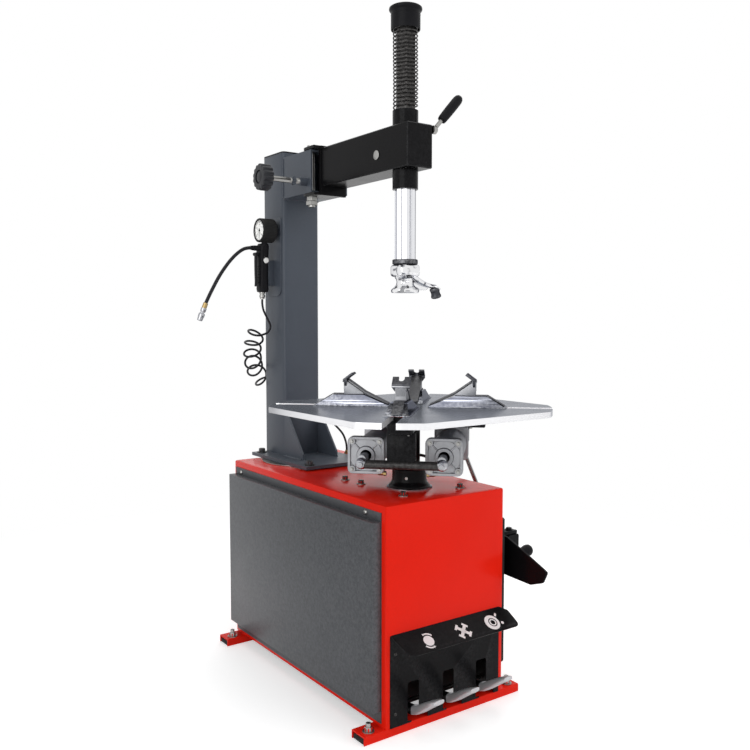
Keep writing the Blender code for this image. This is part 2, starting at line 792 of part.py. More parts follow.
def make_swing_arm(swing):
    half = ARM_WIDTH / 2
    wall = ARM_WALL
    heel_rear = ARM_REAR + HEEL_THICKNESS
    shapes = [
        block((-half, ARM_FRONT, ARM_LOW), (half, ARM_REAR + 0.002, ARM_HIGH), 0.003, "XYZ", 1),
        block((-half - 0.002, ARM_REAR, HEEL_LOW), (half + 0.002, heel_rear, HEEL_HIGH)),
        rod((-half + 0.002, PLUG_Y, PLUG_Z), (-half - 0.0015, PLUG_Y, PLUG_Z), PLUG_RADIUS),
    ]
    corners = [
        (CLEVIS_LEFT, ARM_REAR + 0.004),
        (CLEVIS_RIGHT, ARM_REAR + 0.004),
        (CLEVIS_RIGHT, CLEVIS_REAR),
        (CLEVIS_LEFT, CLEVIS_REAR),
    ]
    outline = rounded(corners, [0, 0, 0.022, 0.022])
    heights = (BRACKET_LOW - 0.001 - CLEVIS_THICKNESS / 2, BRACKET_HIGH + 0.001 + CLEVIS_THICKNESS / 2)
    for z in heights:
        shapes.append(plate([outline], CLEVIS_THICKNESS, Matrix.Translation((0, 0, z))))
    cuts = [
        block(
            (-half + wall, ARM_FRONT + wall, ARM_LOW + wall),
            (half - wall, ARM_REAR - wall, ARM_HIGH - wall),
        ),
        hexagon((0, SHAFT_Y, ARM_LOW - wall), (0, SHAFT_Y, ARM_HIGH + wall), SHAFT_FLATS + 2 * RUN),
        rod((PIN_X, PIN_Y, HEEL_LOW - wall), (PIN_X, PIN_Y, HEEL_HIGH + wall), PIN_RADIUS + RUN),
    ]
    piece("swing_arm", "black_paint", swing, shapes, cuts)
    guides = {
        "upper_guide": (ARM_HIGH + FIT, ARM_HIGH + UPPER_GUIDE_LENGTH),
        "lower_guide": (ARM_LOW - GUIDE_LENGTH, ARM_LOW - FIT),
    }
    for name, (low, high) in guides.items():
        collar = rod((0, SHAFT_Y, low), (0, SHAFT_Y, high), GUIDE_RADIUS, sides=36)
        bore = hexagon((0, SHAFT_Y, low - wall), (0, SHAFT_Y, high + wall), SHAFT_FLATS + 2 * RUN)
        piece(name, "black_paint", swing, [collar], [bore])


def make_tool_shaft(shaft):
    ring_low = SHAFT_LOW
    shapes = [
        hexagon((0, SHAFT_Y, ring_low + 0.002), (0, SHAFT_Y, SHAFT_HEX_TOP), SHAFT_FLATS),
        rod((0, SHAFT_Y, SHAFT_HEX_TOP - 0.002), (0, SHAFT_Y, CAP_HIGH - CAP_FLANGE - FIT),
            SHAFT_SPINDLE_RADIUS),
        rod((0, SHAFT_Y, ring_low), (0, SHAFT_Y, ring_low + HEAD_RING_HEIGHT), HEAD_RING_RADIUS,
            sides=32),
    ]
    piece("tool_shaft", "chrome", shaft, shapes)
    cup_inner = CAP_CUP_RADIUS - CAP_CUP_WALL
    flange_low = CAP_HIGH - CAP_FLANGE
    profile = [
        (0, CAP_HIGH),
        (CAP_RADIUS * 0.70, CAP_HIGH),
        (CAP_RADIUS * 0.94, CAP_HIGH - 0.004),
        (CAP_RADIUS, CAP_HIGH - 0.010),
        (CAP_RADIUS, flange_low + 0.002),
        (CAP_CUP_RADIUS, flange_low - 0.001),
        (CAP_CUP_RADIUS, CAP_CUP_LOW),
        (cup_inner, CAP_CUP_LOW),
        (cup_inner, flange_low),
        (0, flange_low),
    ]
    piece("shaft_cap", "black_plastic", shaft, [turned(profile, (0, SHAFT_Y, 0), 26)])


def spring_route():
    """The wire's middle line: a straight lead, round curls that lean a little, a straight lead."""
    low = ARM_HIGH + UPPER_GUIDE_LENGTH + FIT
    high = CAP_HIGH - CAP_FLANGE - FIT
    lead = 2 * SPRING_WIRE_RADIUS
    points = [Vector((SPRING_RADIUS, SHAFT_Y, low))]
    rings = 8 * SPRING_TURNS
    for step in range(rings + 1):
        share = step / rings
        angle = 2 * math.pi * SPRING_TURNS * share
        lean = SPRING_WAVE * math.sin(2 * math.pi * share)
        points.append(
            Vector((
                SPRING_RADIUS * math.cos(angle) + lean,
                SHAFT_Y + SPRING_RADIUS * math.sin(angle),
                low + lead + (high - low - 2 * lead) * share,
            ))
        )
    points.append(Vector((points[-1].x, points[-1].y, high)))
    return points


def least_gap(points, radius, apart):
    """The least clear distance between stretches of one tube that lie this many points apart."""
    places = np.array([tuple(point) for point in points])
    gap = math.inf
    for i in range(len(places) - apart):
        gap = min(gap, float(np.linalg.norm(places[i + apart :] - places[i], axis=1).min()))
    return gap - 2 * radius


def make_spring(swing):
    route = spring_route()
    obj = tube_object("tool_spring", route, SPRING_WIRE_RADIUS, 1, machine_pieces)
    obj.data.materials.append(materials["dark_steel"])
    place_under(obj, swing)
    print(f"tool_spring least gap to itself {1000 * least_gap(route, SPRING_WIRE_RADIUS, 4):.2f} mm")


def make_mount_head(shaft):
    """The head that rides on the rim: a clamp block, a flared foot and a curved finger."""
    high = SHAFT_LOW - FIT
    half = HEAD_WIDTH / 2
    shapes = [
        block((-half * 0.72, SHAFT_Y - 0.032, 1.128), (half * 0.72, SHAFT_Y + 0.032, high), 0.006,
              "XYZ", 2),
        turned([(0, 1.134), (0.026, 1.134), (0.030, 1.110), (half, 1.096), (half, HEAD_LOW + 0.004),
                (half - 0.004, HEAD_LOW), (0, HEAD_LOW)], (0, SHAFT_Y, 0), 24),
        rod((-half * 0.72 - 0.004, SHAFT_Y - 0.012, 1.145), (half * 0.72 + 0.004, SHAFT_Y - 0.012, 1.145),
            0.007, sides=16),
        bent_rod(finger_route(), 0.0095, 2),
    ]
    piece("mount_head", "chrome", shaft, shapes)
    before, tip = [Vector(point) for point in finger_route()[-2:]]
    way = (tip - before).normalized()
    near = tip + way * FIT
    piece("head_insert", "dark_steel", shaft, [rod(near, near + way * 0.0125, 0.0102, 0.0062, 20)])


def finger_route():
    """From the head's foot out to the right and a little forward, falling in a slow curve."""
    points = []
    for step in range(7):
        share = step / 6
        points.append((
            0.020 + (HEAD_FINGER_REACH - 0.032) * share,
            SHAFT_Y - 0.004 - 0.012 * share,
            1.118 - 0.022 * math.sin(share * math.pi / 2),
        ))
    return points


def make_lock_lever(lever):
    side = ARM_WIDTH / 2 + RUN
    root = Vector((side + 0.005, LEVER_Y, LEVER_ROOT_Z))
    way = Vector((LEVER_REACH, -0.005, LEVER_RISE)).normalized()
    grip_start = root + way * 0.036
    grip_end = grip_start + way * LEVER_GRIP_LENGTH
    shapes = [
        rod((side, LEVER_Y, LEVER_ROOT_Z), (side + 0.011, LEVER_Y, LEVER_ROOT_Z), 0.011),
        rod(root, grip_start + way * 0.004, 0.0055, sides=16),
        rod(grip_start, grip_start + way * LEVER_GRIP_LENGTH * 0.7, 0.008, LEVER_GRIP_RADIUS, 20),
        rod(grip_start + way * LEVER_GRIP_LENGTH * 0.699, grip_end, LEVER_GRIP_RADIUS, 0.008, 20),
    ]
    piece("lock_lever", "black_plastic", lever, shapes)


# Turntable


def radial(name):
    """Local X runs out from the turntable's middle towards the named corner."""
    turn = Matrix.Rotation(math.radians(JAW_ANGLES[name]), 4, "Z")
    return Matrix.Translation((0, TABLE_Y, 0)) @ turn


def make_turntable(table):
    half = TABLE_SIDE / 2
    disc = rod((0, TABLE_Y, TABLE_LOW), (0, TABLE_Y, TABLE_TOP), TABLE_RADIUS, sides=96)
    obj = piece("turntable", "steel", table, [disc])
    square = link(
        "turntable_square",
        block((-half, TABLE_Y - half, TABLE_LOW - 0.01), (half, TABLE_Y + half, TABLE_TOP + 0.01)),
        cutters,
    )
    slots = [
        moved(block((SLOT_START, -SLOT_WIDTH / 2, TABLE_LOW - 0.01),
                    (TABLE_RADIUS + 0.01, SLOT_WIDTH / 2, TABLE_TOP + 0.01)), radial(name))
        for name in JAW_ANGLES
    ]
    helpers = [("INTERSECT", square)]
    helpers += [("DIFFERENCE", link("turntable_slot", slot, cutters)) for slot in slots]
    for operation, helper in helpers:
        helper.hide_render = True
        helper.display_type = "WIRE"
        place_under(helper, table)
        modifier = obj.modifiers.new(helper.name, "BOOLEAN")
        modifier.operation = operation
        modifier.solver = "EXACT"
        modifier.object = helper
    flange_low = TABLE_LOW - FIT - SPINDLE_FLANGE
    shapes = [
        rod((0, TABLE_Y, COLLAR_LOW + 0.004), (0, TABLE_Y, TABLE_LOW - FIT), SPINDLE_RADIUS, sides=28),
        rod((0, TABLE_Y, flange_low), (0, TABLE_Y, TABLE_LOW - FIT), SPINDLE_FLANGE_RADIUS, sides=28),
    ]
    piece("table_spindle", "dark_steel", table, shapes)


def make_hub_collar():
    profile = [
        (SPINDLE_RADIUS + RUN, COLLAR_TOP),
        (COLLAR_RADIUS - 0.003, COLLAR_TOP),
        (COLLAR_RADIUS, COLLAR_TOP - 0.003),
        (COLLAR_RADIUS, CABINET_TOP + 0.018),
        (COLLAR_FOOT_RADIUS, CABINET_TOP + 0.005),
        (COLLAR_FOOT_RADIUS, COLLAR_LOW),
        (SPINDLE_RADIUS + RUN, COLLAR_LOW),
        (SPINDLE_RADIUS + RUN, COLLAR_TOP),
    ]
    piece("hub_collar", "black_paint", machine, [turned(profile, (0, TABLE_Y, 0), 30)])


def make_slide(name, parent):
    """A clamping slide: the chrome ridge on the table, its neck in the slot, its block below."""
    ridge = [
        (SLIDE_INNER, SLIDE_LOW),
        (SLIDE_OUTER, SLIDE_LOW),
        (SLIDE_CREST_OUTER, SLIDE_CREST),
        (SLIDE_CREST_INNER, SLIDE_CREST),
    ]
    half_slot = SLOT_WIDTH / 2 - RUN
    block_high = TABLE_LOW - RUN
    block_low = block_high - SLIDE_BLOCK_HEIGHT
    shapes = [
        plate([ridge], SLIDE_WIDTH, front_view(0)),
        block((SLIDE_NECK_INNER, -half_slot, block_high - 0.002),
              (SLIDE_NECK_OUTER, half_slot, SLIDE_LOW + 0.002)),
        block((SLIDE_NECK_INNER - 0.010, -SLIDE_WIDTH / 2, block_low),
              (SLIDE_NECK_OUTER + 0.010, SLIDE_WIDTH / 2, block_high)),
    ]
    if name == "rear":
        reach = CYLINDER_SPREAD + 0.020
        low = CYLINDER_HEIGHT + CYLINDER_HEAD / 2 + FIT
        shapes.append(
            block((SLIDE_NECK_INNER + 0.012, -reach, low),
                  (SLIDE_NECK_OUTER - 0.022, reach, block_low + 0.002))
        )
    piece(f"slide_{name}", "chrome", parent, [moved(shape, radial(name)) for shape in shapes])


def make_jaw(name, parent):
    """A jaw plate bent up from its slide into a hooked claw, with a fork at its top."""
    base = SLIDE_CREST + FIT
    top = base + JAW_HEIGHT
    claw = JAW_FACE - JAW_CLAW_REACH
    slope = SLIDE_RISE / (SLIDE_CREST_INNER - SLIDE_INNER)
    foot = SLIDE_INNER + 0.008
    foot_low = SLIDE_LOW + slope * (foot - SLIDE_INNER) + 2 * FIT
    body = [
        (foot, foot_low),
        (SLIDE_CREST_INNER - 0.0002, base + 0.0002),
        (JAW_FACE, base),
        (JAW_FACE, top - 0.003),
        (JAW_FACE - 0.010, top - 0.006),
        (SLIDE_CREST_INNER, base + 0.006),
        (foot, foot_low + 0.005),
    ]
    thick = JAW_CLAW_THICKNESS
    lip = JAW_FACE + 0.0012
    fork = [
        (lip, top - thick),
        (lip, top),
        (claw, top + JAW_CLAW_RISE),
        (claw - 0.003, top + JAW_CLAW_RISE - 0.005),
        (JAW_FACE - 0.011, top - thick),
    ]
    shapes = [
        plate([body], JAW_WIDTH, front_view(0)),
        plate([fork], JAW_FORK_WIDTH, front_view(0)),
    ]
    notch = rod((claw, 0, top - 0.02), (claw, 0, top + 0.04), JAW_NOTCH_RADIUS, sides=20)
    cuts = [moved(notch, radial(name))]
    piece(f"jaw_{name}", "dark_steel", parent, [moved(shape, radial(name)) for shape in shapes], cuts)


def make_clamp_cylinders(parent):
    """Two air cylinders under the table, carried by the rear slide, with the rods' bores open."""
    half = CYLINDER_HEAD / 2
    for name, side in (("clamp_cylinder_left", -1), ("clamp_cylinder_right", 1)):
        e = side * CYLINDER_SPREAD
        z = CYLINDER_HEIGHT
        front = CYLINDER_HEAD_FRONT
        shapes = [
            rod((front - 0.004, e, z), (CYLINDER_REAR + 0.004, e, z), CYLINDER_RADIUS, sides=24),
            block((front - CYLINDER_HEAD_LENGTH, e - half, z - half), (front, e + half, z + half), 0.012,
                  "X", 2),
            block((CYLINDER_REAR, e - half, z - half),
                  (CYLINDER_REAR + CYLINDER_HEAD_LENGTH, e + half, z + half), 0.012, "X", 2),
            rod((front - 0.004, e, z), (front + 0.006, e, z), 0.024),
        ]
        bolt = half - 0.013
        for across, up in ((-bolt, -bolt), (-bolt, bolt), (bolt, -bolt), (bolt, bolt)):
            shapes.append(
                rod((front - 0.004, e + across, z + up), (front + 0.005, e + across, z + up), 0.0065, sides=8)
            )
        cuts = [rod((CYLINDER_REAR + 0.012, e, z), (front + 0.02, e, z), CYLINDER_BORE)]
        matrix = radial("front")
        piece(name, "aluminium", parent, [moved(shape, matrix) for shape in shapes],
              [moved(cut, matrix) for cut in cuts])


def make_clamp_yoke(parent):
    """The plate, crossbar and piston rods that the front slide carries."""
    block_low = TABLE_LOW - RUN - SLIDE_BLOCK_HEIGHT
    z = CYLINDER_HEIGHT - 0.012
    middle = CROSSBAR_PLACE
    plate_high = block_low - FIT
    shapes = [
        block((middle - YOKE_THICKNESS / 2, -YOKE_WIDTH / 2, z - 0.006),
              (middle + YOKE_THICKNESS / 2, YOKE_WIDTH / 2, plate_high)),
        rod((middle, -CYLINDER_SPREAD + 0.004, z), (middle, CYLINDER_SPREAD - 0.004, z), CROSSBAR_RADIUS),
    ]
    for side in (-1, 1):
        e = side * CYLINDER_SPREAD
        shapes.append(ball((middle, e, z), CROSSBAR_BALL))
        shapes.append(rod((middle, e, CYLINDER_HEIGHT), (CYLINDER_REAR + 0.045, e, CYLINDER_HEIGHT),
                          ROD_RADIUS))
    piece("clamp_yoke", "black_paint", parent, [moved(shape, radial("front")) for shape in shapes])


def smooth_route(points, spacing):
    """Points on a smooth curve through the given ones, about this far apart."""
    ends = [2 * points[0] - points[1]] + list(points) + [2 * points[-1] - points[-2]]
    fine = []
    for i in range(1, len(ends) - 2):
        for step in range(24):
            t = step / 24
            a, b, c, d = ends[i - 1], ends[i], ends[i + 1], ends[i + 2]
            fine.append(
                0.5 * (2 * b + (c - a) * t + (2 * a - 5 * b + 4 * c - d) * t * t
                       + (3 * b - a - 3 * c + d) * t * t * t)
            )
    fine.append(points[-1].copy())
    lengths = [0.0]
    for before, after in zip(fine, fine[1:]):
        lengths.append(lengths[-1] + (after - before).length)
    count = max(2, round(lengths[-1] / spacing))
    route = []
    for step in range(count + 1):
        goal = lengths[-1] * step / count
        i = min(max(1, int(np.searchsorted(lengths, goal))), len(fine) - 1)
        share = (goal - lengths[i - 1]) / (lengths[i] - lengths[i - 1])
        route.append(fine[i - 1].lerp(fine[i], share))
    return route


def route_length(points):
    return sum((after - before).length for before, after in zip(points, points[1:]))


def make_clamp_hose(parent):
    """The air line between the front heads of the two cylinders, led round behind the spindle."""
    front = CYLINDER_HEAD_FRONT - CYLINDER_HEAD_LENGTH - FIT
    e = CYLINDER_SPREAD - 0.038
    z = CYLINDER_HEIGHT - 0.033
    half = [(front, e, z), (front - 0.014, e, z), (0.020, e - 0.006, z + 0.002),
            (-0.028, e - 0.008, z + 0.004),
            (-0.062, e - 0.020, z + 0.006), (-0.082, 0.018, z + 0.008)]
    local = [(d, -across, up) for d, across, up in half] + half[::-1]
    matrix = radial("front")
    points = [matrix @ Vector(point) for point in local]
    route = straight_ends(smooth_route(points, 0.012), points, CLAMP_HOSE_RADIUS)
    obj = tube_object("clamp_hose", route, CLAMP_HOSE_RADIUS, 2, machine_pieces)
    obj.data.materials.append(materials["black_rubber"])
    place_under(obj, parent)


def straight_ends(route, points, radius):
    """The route with one diameter of each end laid straight along the run that the points give."""
    start = points[0] + (points[1] - points[0]).normalized() * 2 * radius
    end = points[-1] + (points[-2] - points[-1]).normalized() * 2 * radius
    near = 3 * radius
    middle = [p for p in route[1:-1]
              if (p - points[0]).length > near and (p - points[-1]).length > near]
    return [points[0], start, *middle, end, points[-1]]


# Pedals


def pedal_outline():
    """The lever in side view, from its hub at the shaft to its pad."""
    hub = [
        (PEDAL_SHAFT_Y + PEDAL_HUB_RADIUS * math.cos(math.radians(angle)),
         PEDAL_SHAFT_Z + PEDAL_HUB_RADIUS * math.sin(math.radians(angle)))
        for angle in range(-90, 91, 20)
    ]
    return hub + [
        (0, PEDAL_ROOT_HIGH),
        (PEDAL_TIP_Y + 0.040, PEDAL_TIP_Z - 0.012),
        (PEDAL_TIP_Y + 0.004, PEDAL_TIP_Z),
        (PEDAL_TIP_Y, PEDAL_TIP_Z - PEDAL_TIP_THICKNESS),
        (PEDAL_TIP_Y + 0.040, PEDAL_TIP_Z - 0.042),
        (0, PEDAL_ROOT_LOW),
    ]


def make_pedals(pivots):
    for name, x in PEDAL_PLACES.items():
        outline = pedal_outline()
        pad = [
            (PEDAL_TIP_Y + 0.050, PEDAL_TIP_Z - 0.0125),
            (PEDAL_TIP_Y + 0.004, PEDAL_TIP_Z + 0.0015),
            (PEDAL_TIP_Y, PEDAL_TIP_Z - PEDAL_TIP_THICKNESS),
            (PEDAL_TIP_Y + 0.046, PEDAL_TIP_Z - 0.025),
        ]
        shapes = [
            plate([outline], PEDAL_WIDTH, side_view(x)),
            plate([pad], PEDAL_PAD_WIDTH, side_view(x)),
        ]
        bore = rod((x - 0.03, PEDAL_SHAFT_Y, PEDAL_SHAFT_Z), (x + 0.03, PEDAL_SHAFT_Y, PEDAL_SHAFT_Z),
                   PEDAL_SHAFT_RADIUS + RUN)
        piece(name, "aluminium", pivots[name], shapes, [bore])


def make_valve_block():
    """The air valves behind the cabinet's front, with the shaft that the pedals turn on."""
    inner = CABINET_SHEET + FIT
    low = 0.030
    end = VALVE_HALF_LENGTH
    shapes = [block((-end, VALVE_FRONT, low), (end, VALVE_REAR, VALVE_HIGH))]
    for side in (-1, 1):
        near = side * (end - 0.015)
        far = side * end
        shapes.append(block((min(near, far), inner, low), (max(near, far), VALVE_FRONT + 0.002, VALVE_HIGH)))
    shapes.append(rod((-end + 0.004, PEDAL_SHAFT_Y, PEDAL_SHAFT_Z),
                      (end - 0.004, PEDAL_SHAFT_Y, PEDAL_SHAFT_Z),
                      PEDAL_SHAFT_RADIUS))
    piece("valve_block", "aluminium", machine, shapes)


def make_pedal_guard():
    """A black sheet on the cabinet's front, folded forward at its top into a visor."""
    rear = -FIT
    front = rear - GUARD_SHEET
    outline = rounded(
        [(GUARD_LEFT, CABINET_LOW), (GUARD_RIGHT, CABINET_LOW), (GUARD_RIGHT, GUARD_HIGH),
         (GUARD_LEFT, GUARD_HIGH)],
        [0, 0, 0.004, 0.006],
    )
    shapes = [plate([outline], GUARD_SHEET, front_view((front + rear) / 2))]
    corners = [(GUARD_LEFT, 0), (GUARD_RIGHT, 0), (VISOR_RIGHT, 0.016), (VISOR_RIGHT + 0.003, VISOR_LENGTH),
               (GUARD_LEFT + 0.020, VISOR_LENGTH)]
    visor = rounded(corners, [0, 0, 0.010, 0.014, 0.030], 4)
    fold = Matrix.Translation((0, front + GUARD_SHEET / 2, GUARD_HIGH - GUARD_SHEET / 2))
    lay = fold @ Matrix.Rotation(math.pi + VISOR_ANGLE, 4, "X") @ Matrix.Scale(-1, 4, (0, 0, 1))
    shapes.append(plate([visor], GUARD_SHEET, lay))
    cuts = []
    for x in PEDAL_PLACES.values():
        half = GUARD_WINDOW_WIDTH / 2
        cuts.append(block((x - half, -0.01, GUARD_WINDOW_LOW), (x + half, 0.01, GUARD_WINDOW_HIGH),
                          0.004, "Y"))
        notch = x - GUARD_NOTCH_INSET
        cuts.append(block((notch, -0.01, CABINET_LOW - 0.01),
                          (notch + GUARD_NOTCH_WIDTH, 0.01, GUARD_NOTCH_HIGH)))
    piece("pedal_guard", "black_paint", machine, shapes, cuts)


# Bead breaker


def arm_frame():
    """Local Y runs back from the pivot's axis along the arm, towards its front."""
    turn = Matrix.Rotation(math.pi + BREAKER_LEAN, 4, "Z")
    return Matrix.Translation((BREAKER_PIVOT_X, BREAKER_PIVOT_Y, 0)) @ turn


def make_breaker_pivot():
    low = BREAKER_ARM_LOW - RUN
    high = BREAKER_ARM_HIGH + RUN
    x = BREAKER_PIVOT_X
    y = BREAKER_PIVOT_Y
    reach = 0.028
    wall = HALF_CABINET + FIT
    shapes = [
        block((wall, y - 0.040, low - 0.030), (wall + 0.008, y + 0.040, high + 0.030)),
        block((wall + 0.006, y - reach, low - BREAKER_EAR), (x + reach, y + reach, low)),
        block((wall + 0.006, y - reach, high), (x + reach, y + reach, high + BREAKER_EAR)),
        rod((x, y, low - BREAKER_EAR - 0.010), (x, y, high + BREAKER_EAR + 0.008), BREAKER_PIVOT_RADIUS),
        hexagon((x, y, high + BREAKER_EAR - 0.001), (x, y, high + BREAKER_EAR + 0.010), 0.028),
    ]
    piece("breaker_pivot", "dark_steel", machine, shapes)


def make_breaker_arm(arm):
    half = BREAKER_ARM_WIDTH / 2
    low = BREAKER_ARM_LOW
    high = BREAKER_ARM_HIGH
    matrix = arm_frame()
    length = BREAKER_LENGTH
    shapes = [
        block((-half, 0.0, low), (half, length, high), 0.004, "Y", 1),
        rod((0, 0, low), (0, 0, high), half),
    ]
    cuts = [
        rod((0, 0, low - 0.01), (0, 0, high + 0.01), BREAKER_PIVOT_RADIUS + RUN),
        rod((0, length - 0.018, low - 0.01), (0, length - 0.018, high + 0.01), BREAKER_PIN_RADIUS + RUN),
        block((-half - 0.01, BREAKER_SLOT_START, BREAKER_MIDDLE_Z - BREAKER_SLOT_HEIGHT / 2),
              (half + 0.01, BREAKER_SLOT_END, BREAKER_MIDDLE_Z + BREAKER_SLOT_HEIGHT / 2)),
    ]
    piece("breaker_arm", "black_paint", arm, [moved(shape, matrix) for shape in shapes],
          [moved(cut, matrix) for cut in cuts])
    foot = HANDLE_FOOT_Y - HANDLE_WIDTH / 2
    near = HANDLE_Y - HANDLE_WIDTH / 2
    bar = [
        (foot, high + FIT),
        (foot + HANDLE_WIDTH, high + FIT),
        (near + HANDLE_WIDTH, HANDLE_BEND_Z),
        (near + HANDLE_WIDTH, HANDLE_TOP),
        (near, HANDLE_TOP),
        (near, HANDLE_BEND_Z + 0.004),
    ]
    shapes = [
        plate([bar], HANDLE_THICKNESS, side_view(HANDLE_X)),
        rod((HANDLE_X, HANDLE_Y, HANDLE_TOP - 0.040), (HANDLE_X, HANDLE_Y, HANDLE_TOP + 0.018),
            HANDLE_GRIP_RADIUS),
    ]
    piece("breaker_handle", "steel", arm, shapes)


def blade_pin_place():
    return arm_frame() @ Vector((0, BREAKER_LENGTH - 0.018, 0))


def make_breaker_blade(blade):
    """The shovel that presses the bead: a curved plate on two lugs about its own pin."""
    outline = rounded(
        [(-0.105, 0.357), (0.045, 0.421), (0.175, 0.430), (0.192, 0.372), (0.160, 0.322), (0.030, 0.314),
         (-0.050, 0.311), (-0.092, 0.326)],
        [0.008, 0.020, 0.014, 0.014, 0.014, 0.010, 0.010, 0.010],
        2,
    )
    low = BREAKER_ARM_LOW - RUN
    high = BREAKER_ARM_HIGH + RUN
    near = BLADE_X + BLADE_THICKNESS / 2 - 0.002
    pin = blade_pin_place()
    back = BREAKER_FRONT_X + 0.018
    shapes = [
        plate([outline], BLADE_THICKNESS, side_view(BLADE_X)),
        block((near, pin.y - 0.014, low - 0.010), (back, pin.y + 0.014, low)),
        block((near, pin.y - 0.014, high), (back, pin.y + 0.014, high + 0.010)),
        rod((pin.x, pin.y, low - 0.012), (pin.x, pin.y, high + 0.014), BREAKER_PIN_RADIUS),
        rod((near, -0.003, 0.388), (near + 0.036, -0.003, 0.388), 0.014, 0.016),
    ]
    piece("breaker_blade", "black_paint", blade, shapes)


def make_breaker_ram(ram):
    z = BREAKER_MIDDLE_Z
    y = BREAKER_ROD_Y
    left = BREAKER_CYLINDER_LEFT
    right = HALF_CABINET - CABINET_SHEET - FIT
    shapes = [
        rod((left, y, z), (right, y, z), BREAKER_CYLINDER_RADIUS, sides=28),
        rod((left - 0.010, y, z), (left + 0.002, y, z), BREAKER_CYLINDER_RADIUS + 0.006, sides=28),
    ]
    bore = rod((left + 0.010, y, z), (right + 0.01, y, z), BREAKER_ROD_RADIUS + 2 * RUN)
    piece("breaker_cylinder", "aluminium", machine, shapes, [bore])
    share = (BREAKER_PIVOT_Y - y) / math.cos(BREAKER_LEAN)
    outer = BREAKER_PIVOT_X + share * math.sin(BREAKER_LEAN) + BREAKER_ARM_WIDTH / 2 / math.cos(BREAKER_LEAN)
    nut = outer + BREAKER_NUT_GAP + BREAKER_NUT_RADIUS
    shapes = [
        rod((left + 0.014, y, z), (nut, y, z), BREAKER_ROD_RADIUS),
        ball((nut, y, z), BREAKER_NUT_RADIUS),
    ]
    piece("breaker_rod", "chrome", ram, shapes)


# Drive


def make_gearbox():
    half = GEARBOX_WIDTH / 2
    flange_high = CABINET_TOP - CABINET_SHEET - FIT
    flange_low = flange_high - 0.012
    plate_rear = DRIVE_PLANE_Y + 0.026
    plate_front = plate_rear - MOTOR_PLATE
    shapes = [
        block((-half, GEARBOX_FRONT, GEARBOX_LOW), (half, GEARBOX_REAR, flange_high - 0.004), 0.008, "Z", 1),
        block((-0.105, 0.048, flange_low), (0.108, 0.350, flange_high)),
        block((-half, plate_front, 0.115), (half, plate_rear, 0.500)),
        block((-half, GEARBOX_REAR - 0.012, 0.400), (-half + 0.008, plate_rear - 0.002, 0.500)),
        block((half - 0.008, GEARBOX_REAR - 0.012, 0.400), (half, plate_rear - 0.002, 0.500)),
    ]
    cuts = [
        rod((0, TABLE_Y, COLLAR_LOW - FIT), (0, TABLE_Y, CABINET_TOP + 0.01),
            COLLAR_FOOT_RADIUS + RUN, sides=40),
        rod((0, GEARBOX_REAR - 0.024, LARGE_PULLEY_Z), (0, GEARBOX_REAR + 0.005, LARGE_PULLEY_Z),
            PULLEY_SHAFT_RADIUS + RUN),
        rod((0, plate_front - 0.005, SMALL_PULLEY_Z), (0, plate_rear + 0.005, SMALL_PULLEY_Z), 0.016),
    ]
    piece("gearbox", "dark_steel", machine, shapes, cuts)
    motor_front = plate_rear + FIT
    motor_rear = motor_front + MOTOR_LENGTH
    z = SMALL_PULLEY_Z
    shapes = [
        rod((0, motor_front, z), (0, motor_rear, z), MOTOR_RADIUS, sides=32),
        rod((0, motor_rear - 0.002, z), (0, motor_rear + 0.020, z), MOTOR_RADIUS - 0.008, sides=32),
        block((-0.035, motor_front + 0.040, z + MOTOR_RADIUS - 0.006), (0.035, motor_front + 0.120,
                                                                       z + MOTOR_RADIUS + 0.020)),
    ]
    cuts = [rod((0, motor_front - 0.005, z), (0, motor_front + 0.030, z), PULLEY_SHAFT_RADIUS + RUN)]
    piece("motor", "grey_paint", machine, shapes, cuts)


def belt_outline(grow):
    """The line round both pulleys, this far outside them."""
    reach = LARGE_PULLEY_Z - SMALL_PULLEY_Z
    lean = math.asin((LARGE_PULLEY_RADIUS - SMALL_PULLEY_RADIUS) / reach)
    points = []
    arcs = (
        (LARGE_PULLEY_Z, LARGE_PULLEY_RADIUS + grow, -lean, math.pi + lean, 24),
        (SMALL_PULLEY_Z, SMALL_PULLEY_RADIUS + grow, math.pi + lean, 2 * math.pi - lean, 14),
    )
    for z, radius, start, end, steps in arcs:
        for step in range(steps + 1):
            angle = start + (end - start) * step / steps
            points.append((radius * math.cos(angle), z + radius * math.sin(angle)))
    return points


def make_drive(large_axis, small_axis):
    y = DRIVE_PLANE_Y
    half = BELT_WIDTH / 2
    gap = 2 * RUN
    outlines = [belt_outline(gap + BELT_THICKNESS), belt_outline(gap)]
    piece("drive_belt", "black_rubber", machine, [plate(outlines, BELT_WIDTH, front_view(y))])
    pulleys = (
        ("gearbox_pulley", large_axis, LARGE_PULLEY_RADIUS, LARGE_PULLEY_Z, GEARBOX_REAR - 0.020),
        ("motor_pulley", small_axis, SMALL_PULLEY_RADIUS, SMALL_PULLEY_Z, y + 0.045),
    )
    for name, axis, radius, z, shaft_end in pulleys:
        shapes = [
            rod((0, y - half, z), (0, y + half, z), radius, sides=36),
            rod((0, y, z), (0, shaft_end, z), PULLEY_SHAFT_RADIUS),
        ]
        piece(name, "steel", axis, shapes)


# Inflator


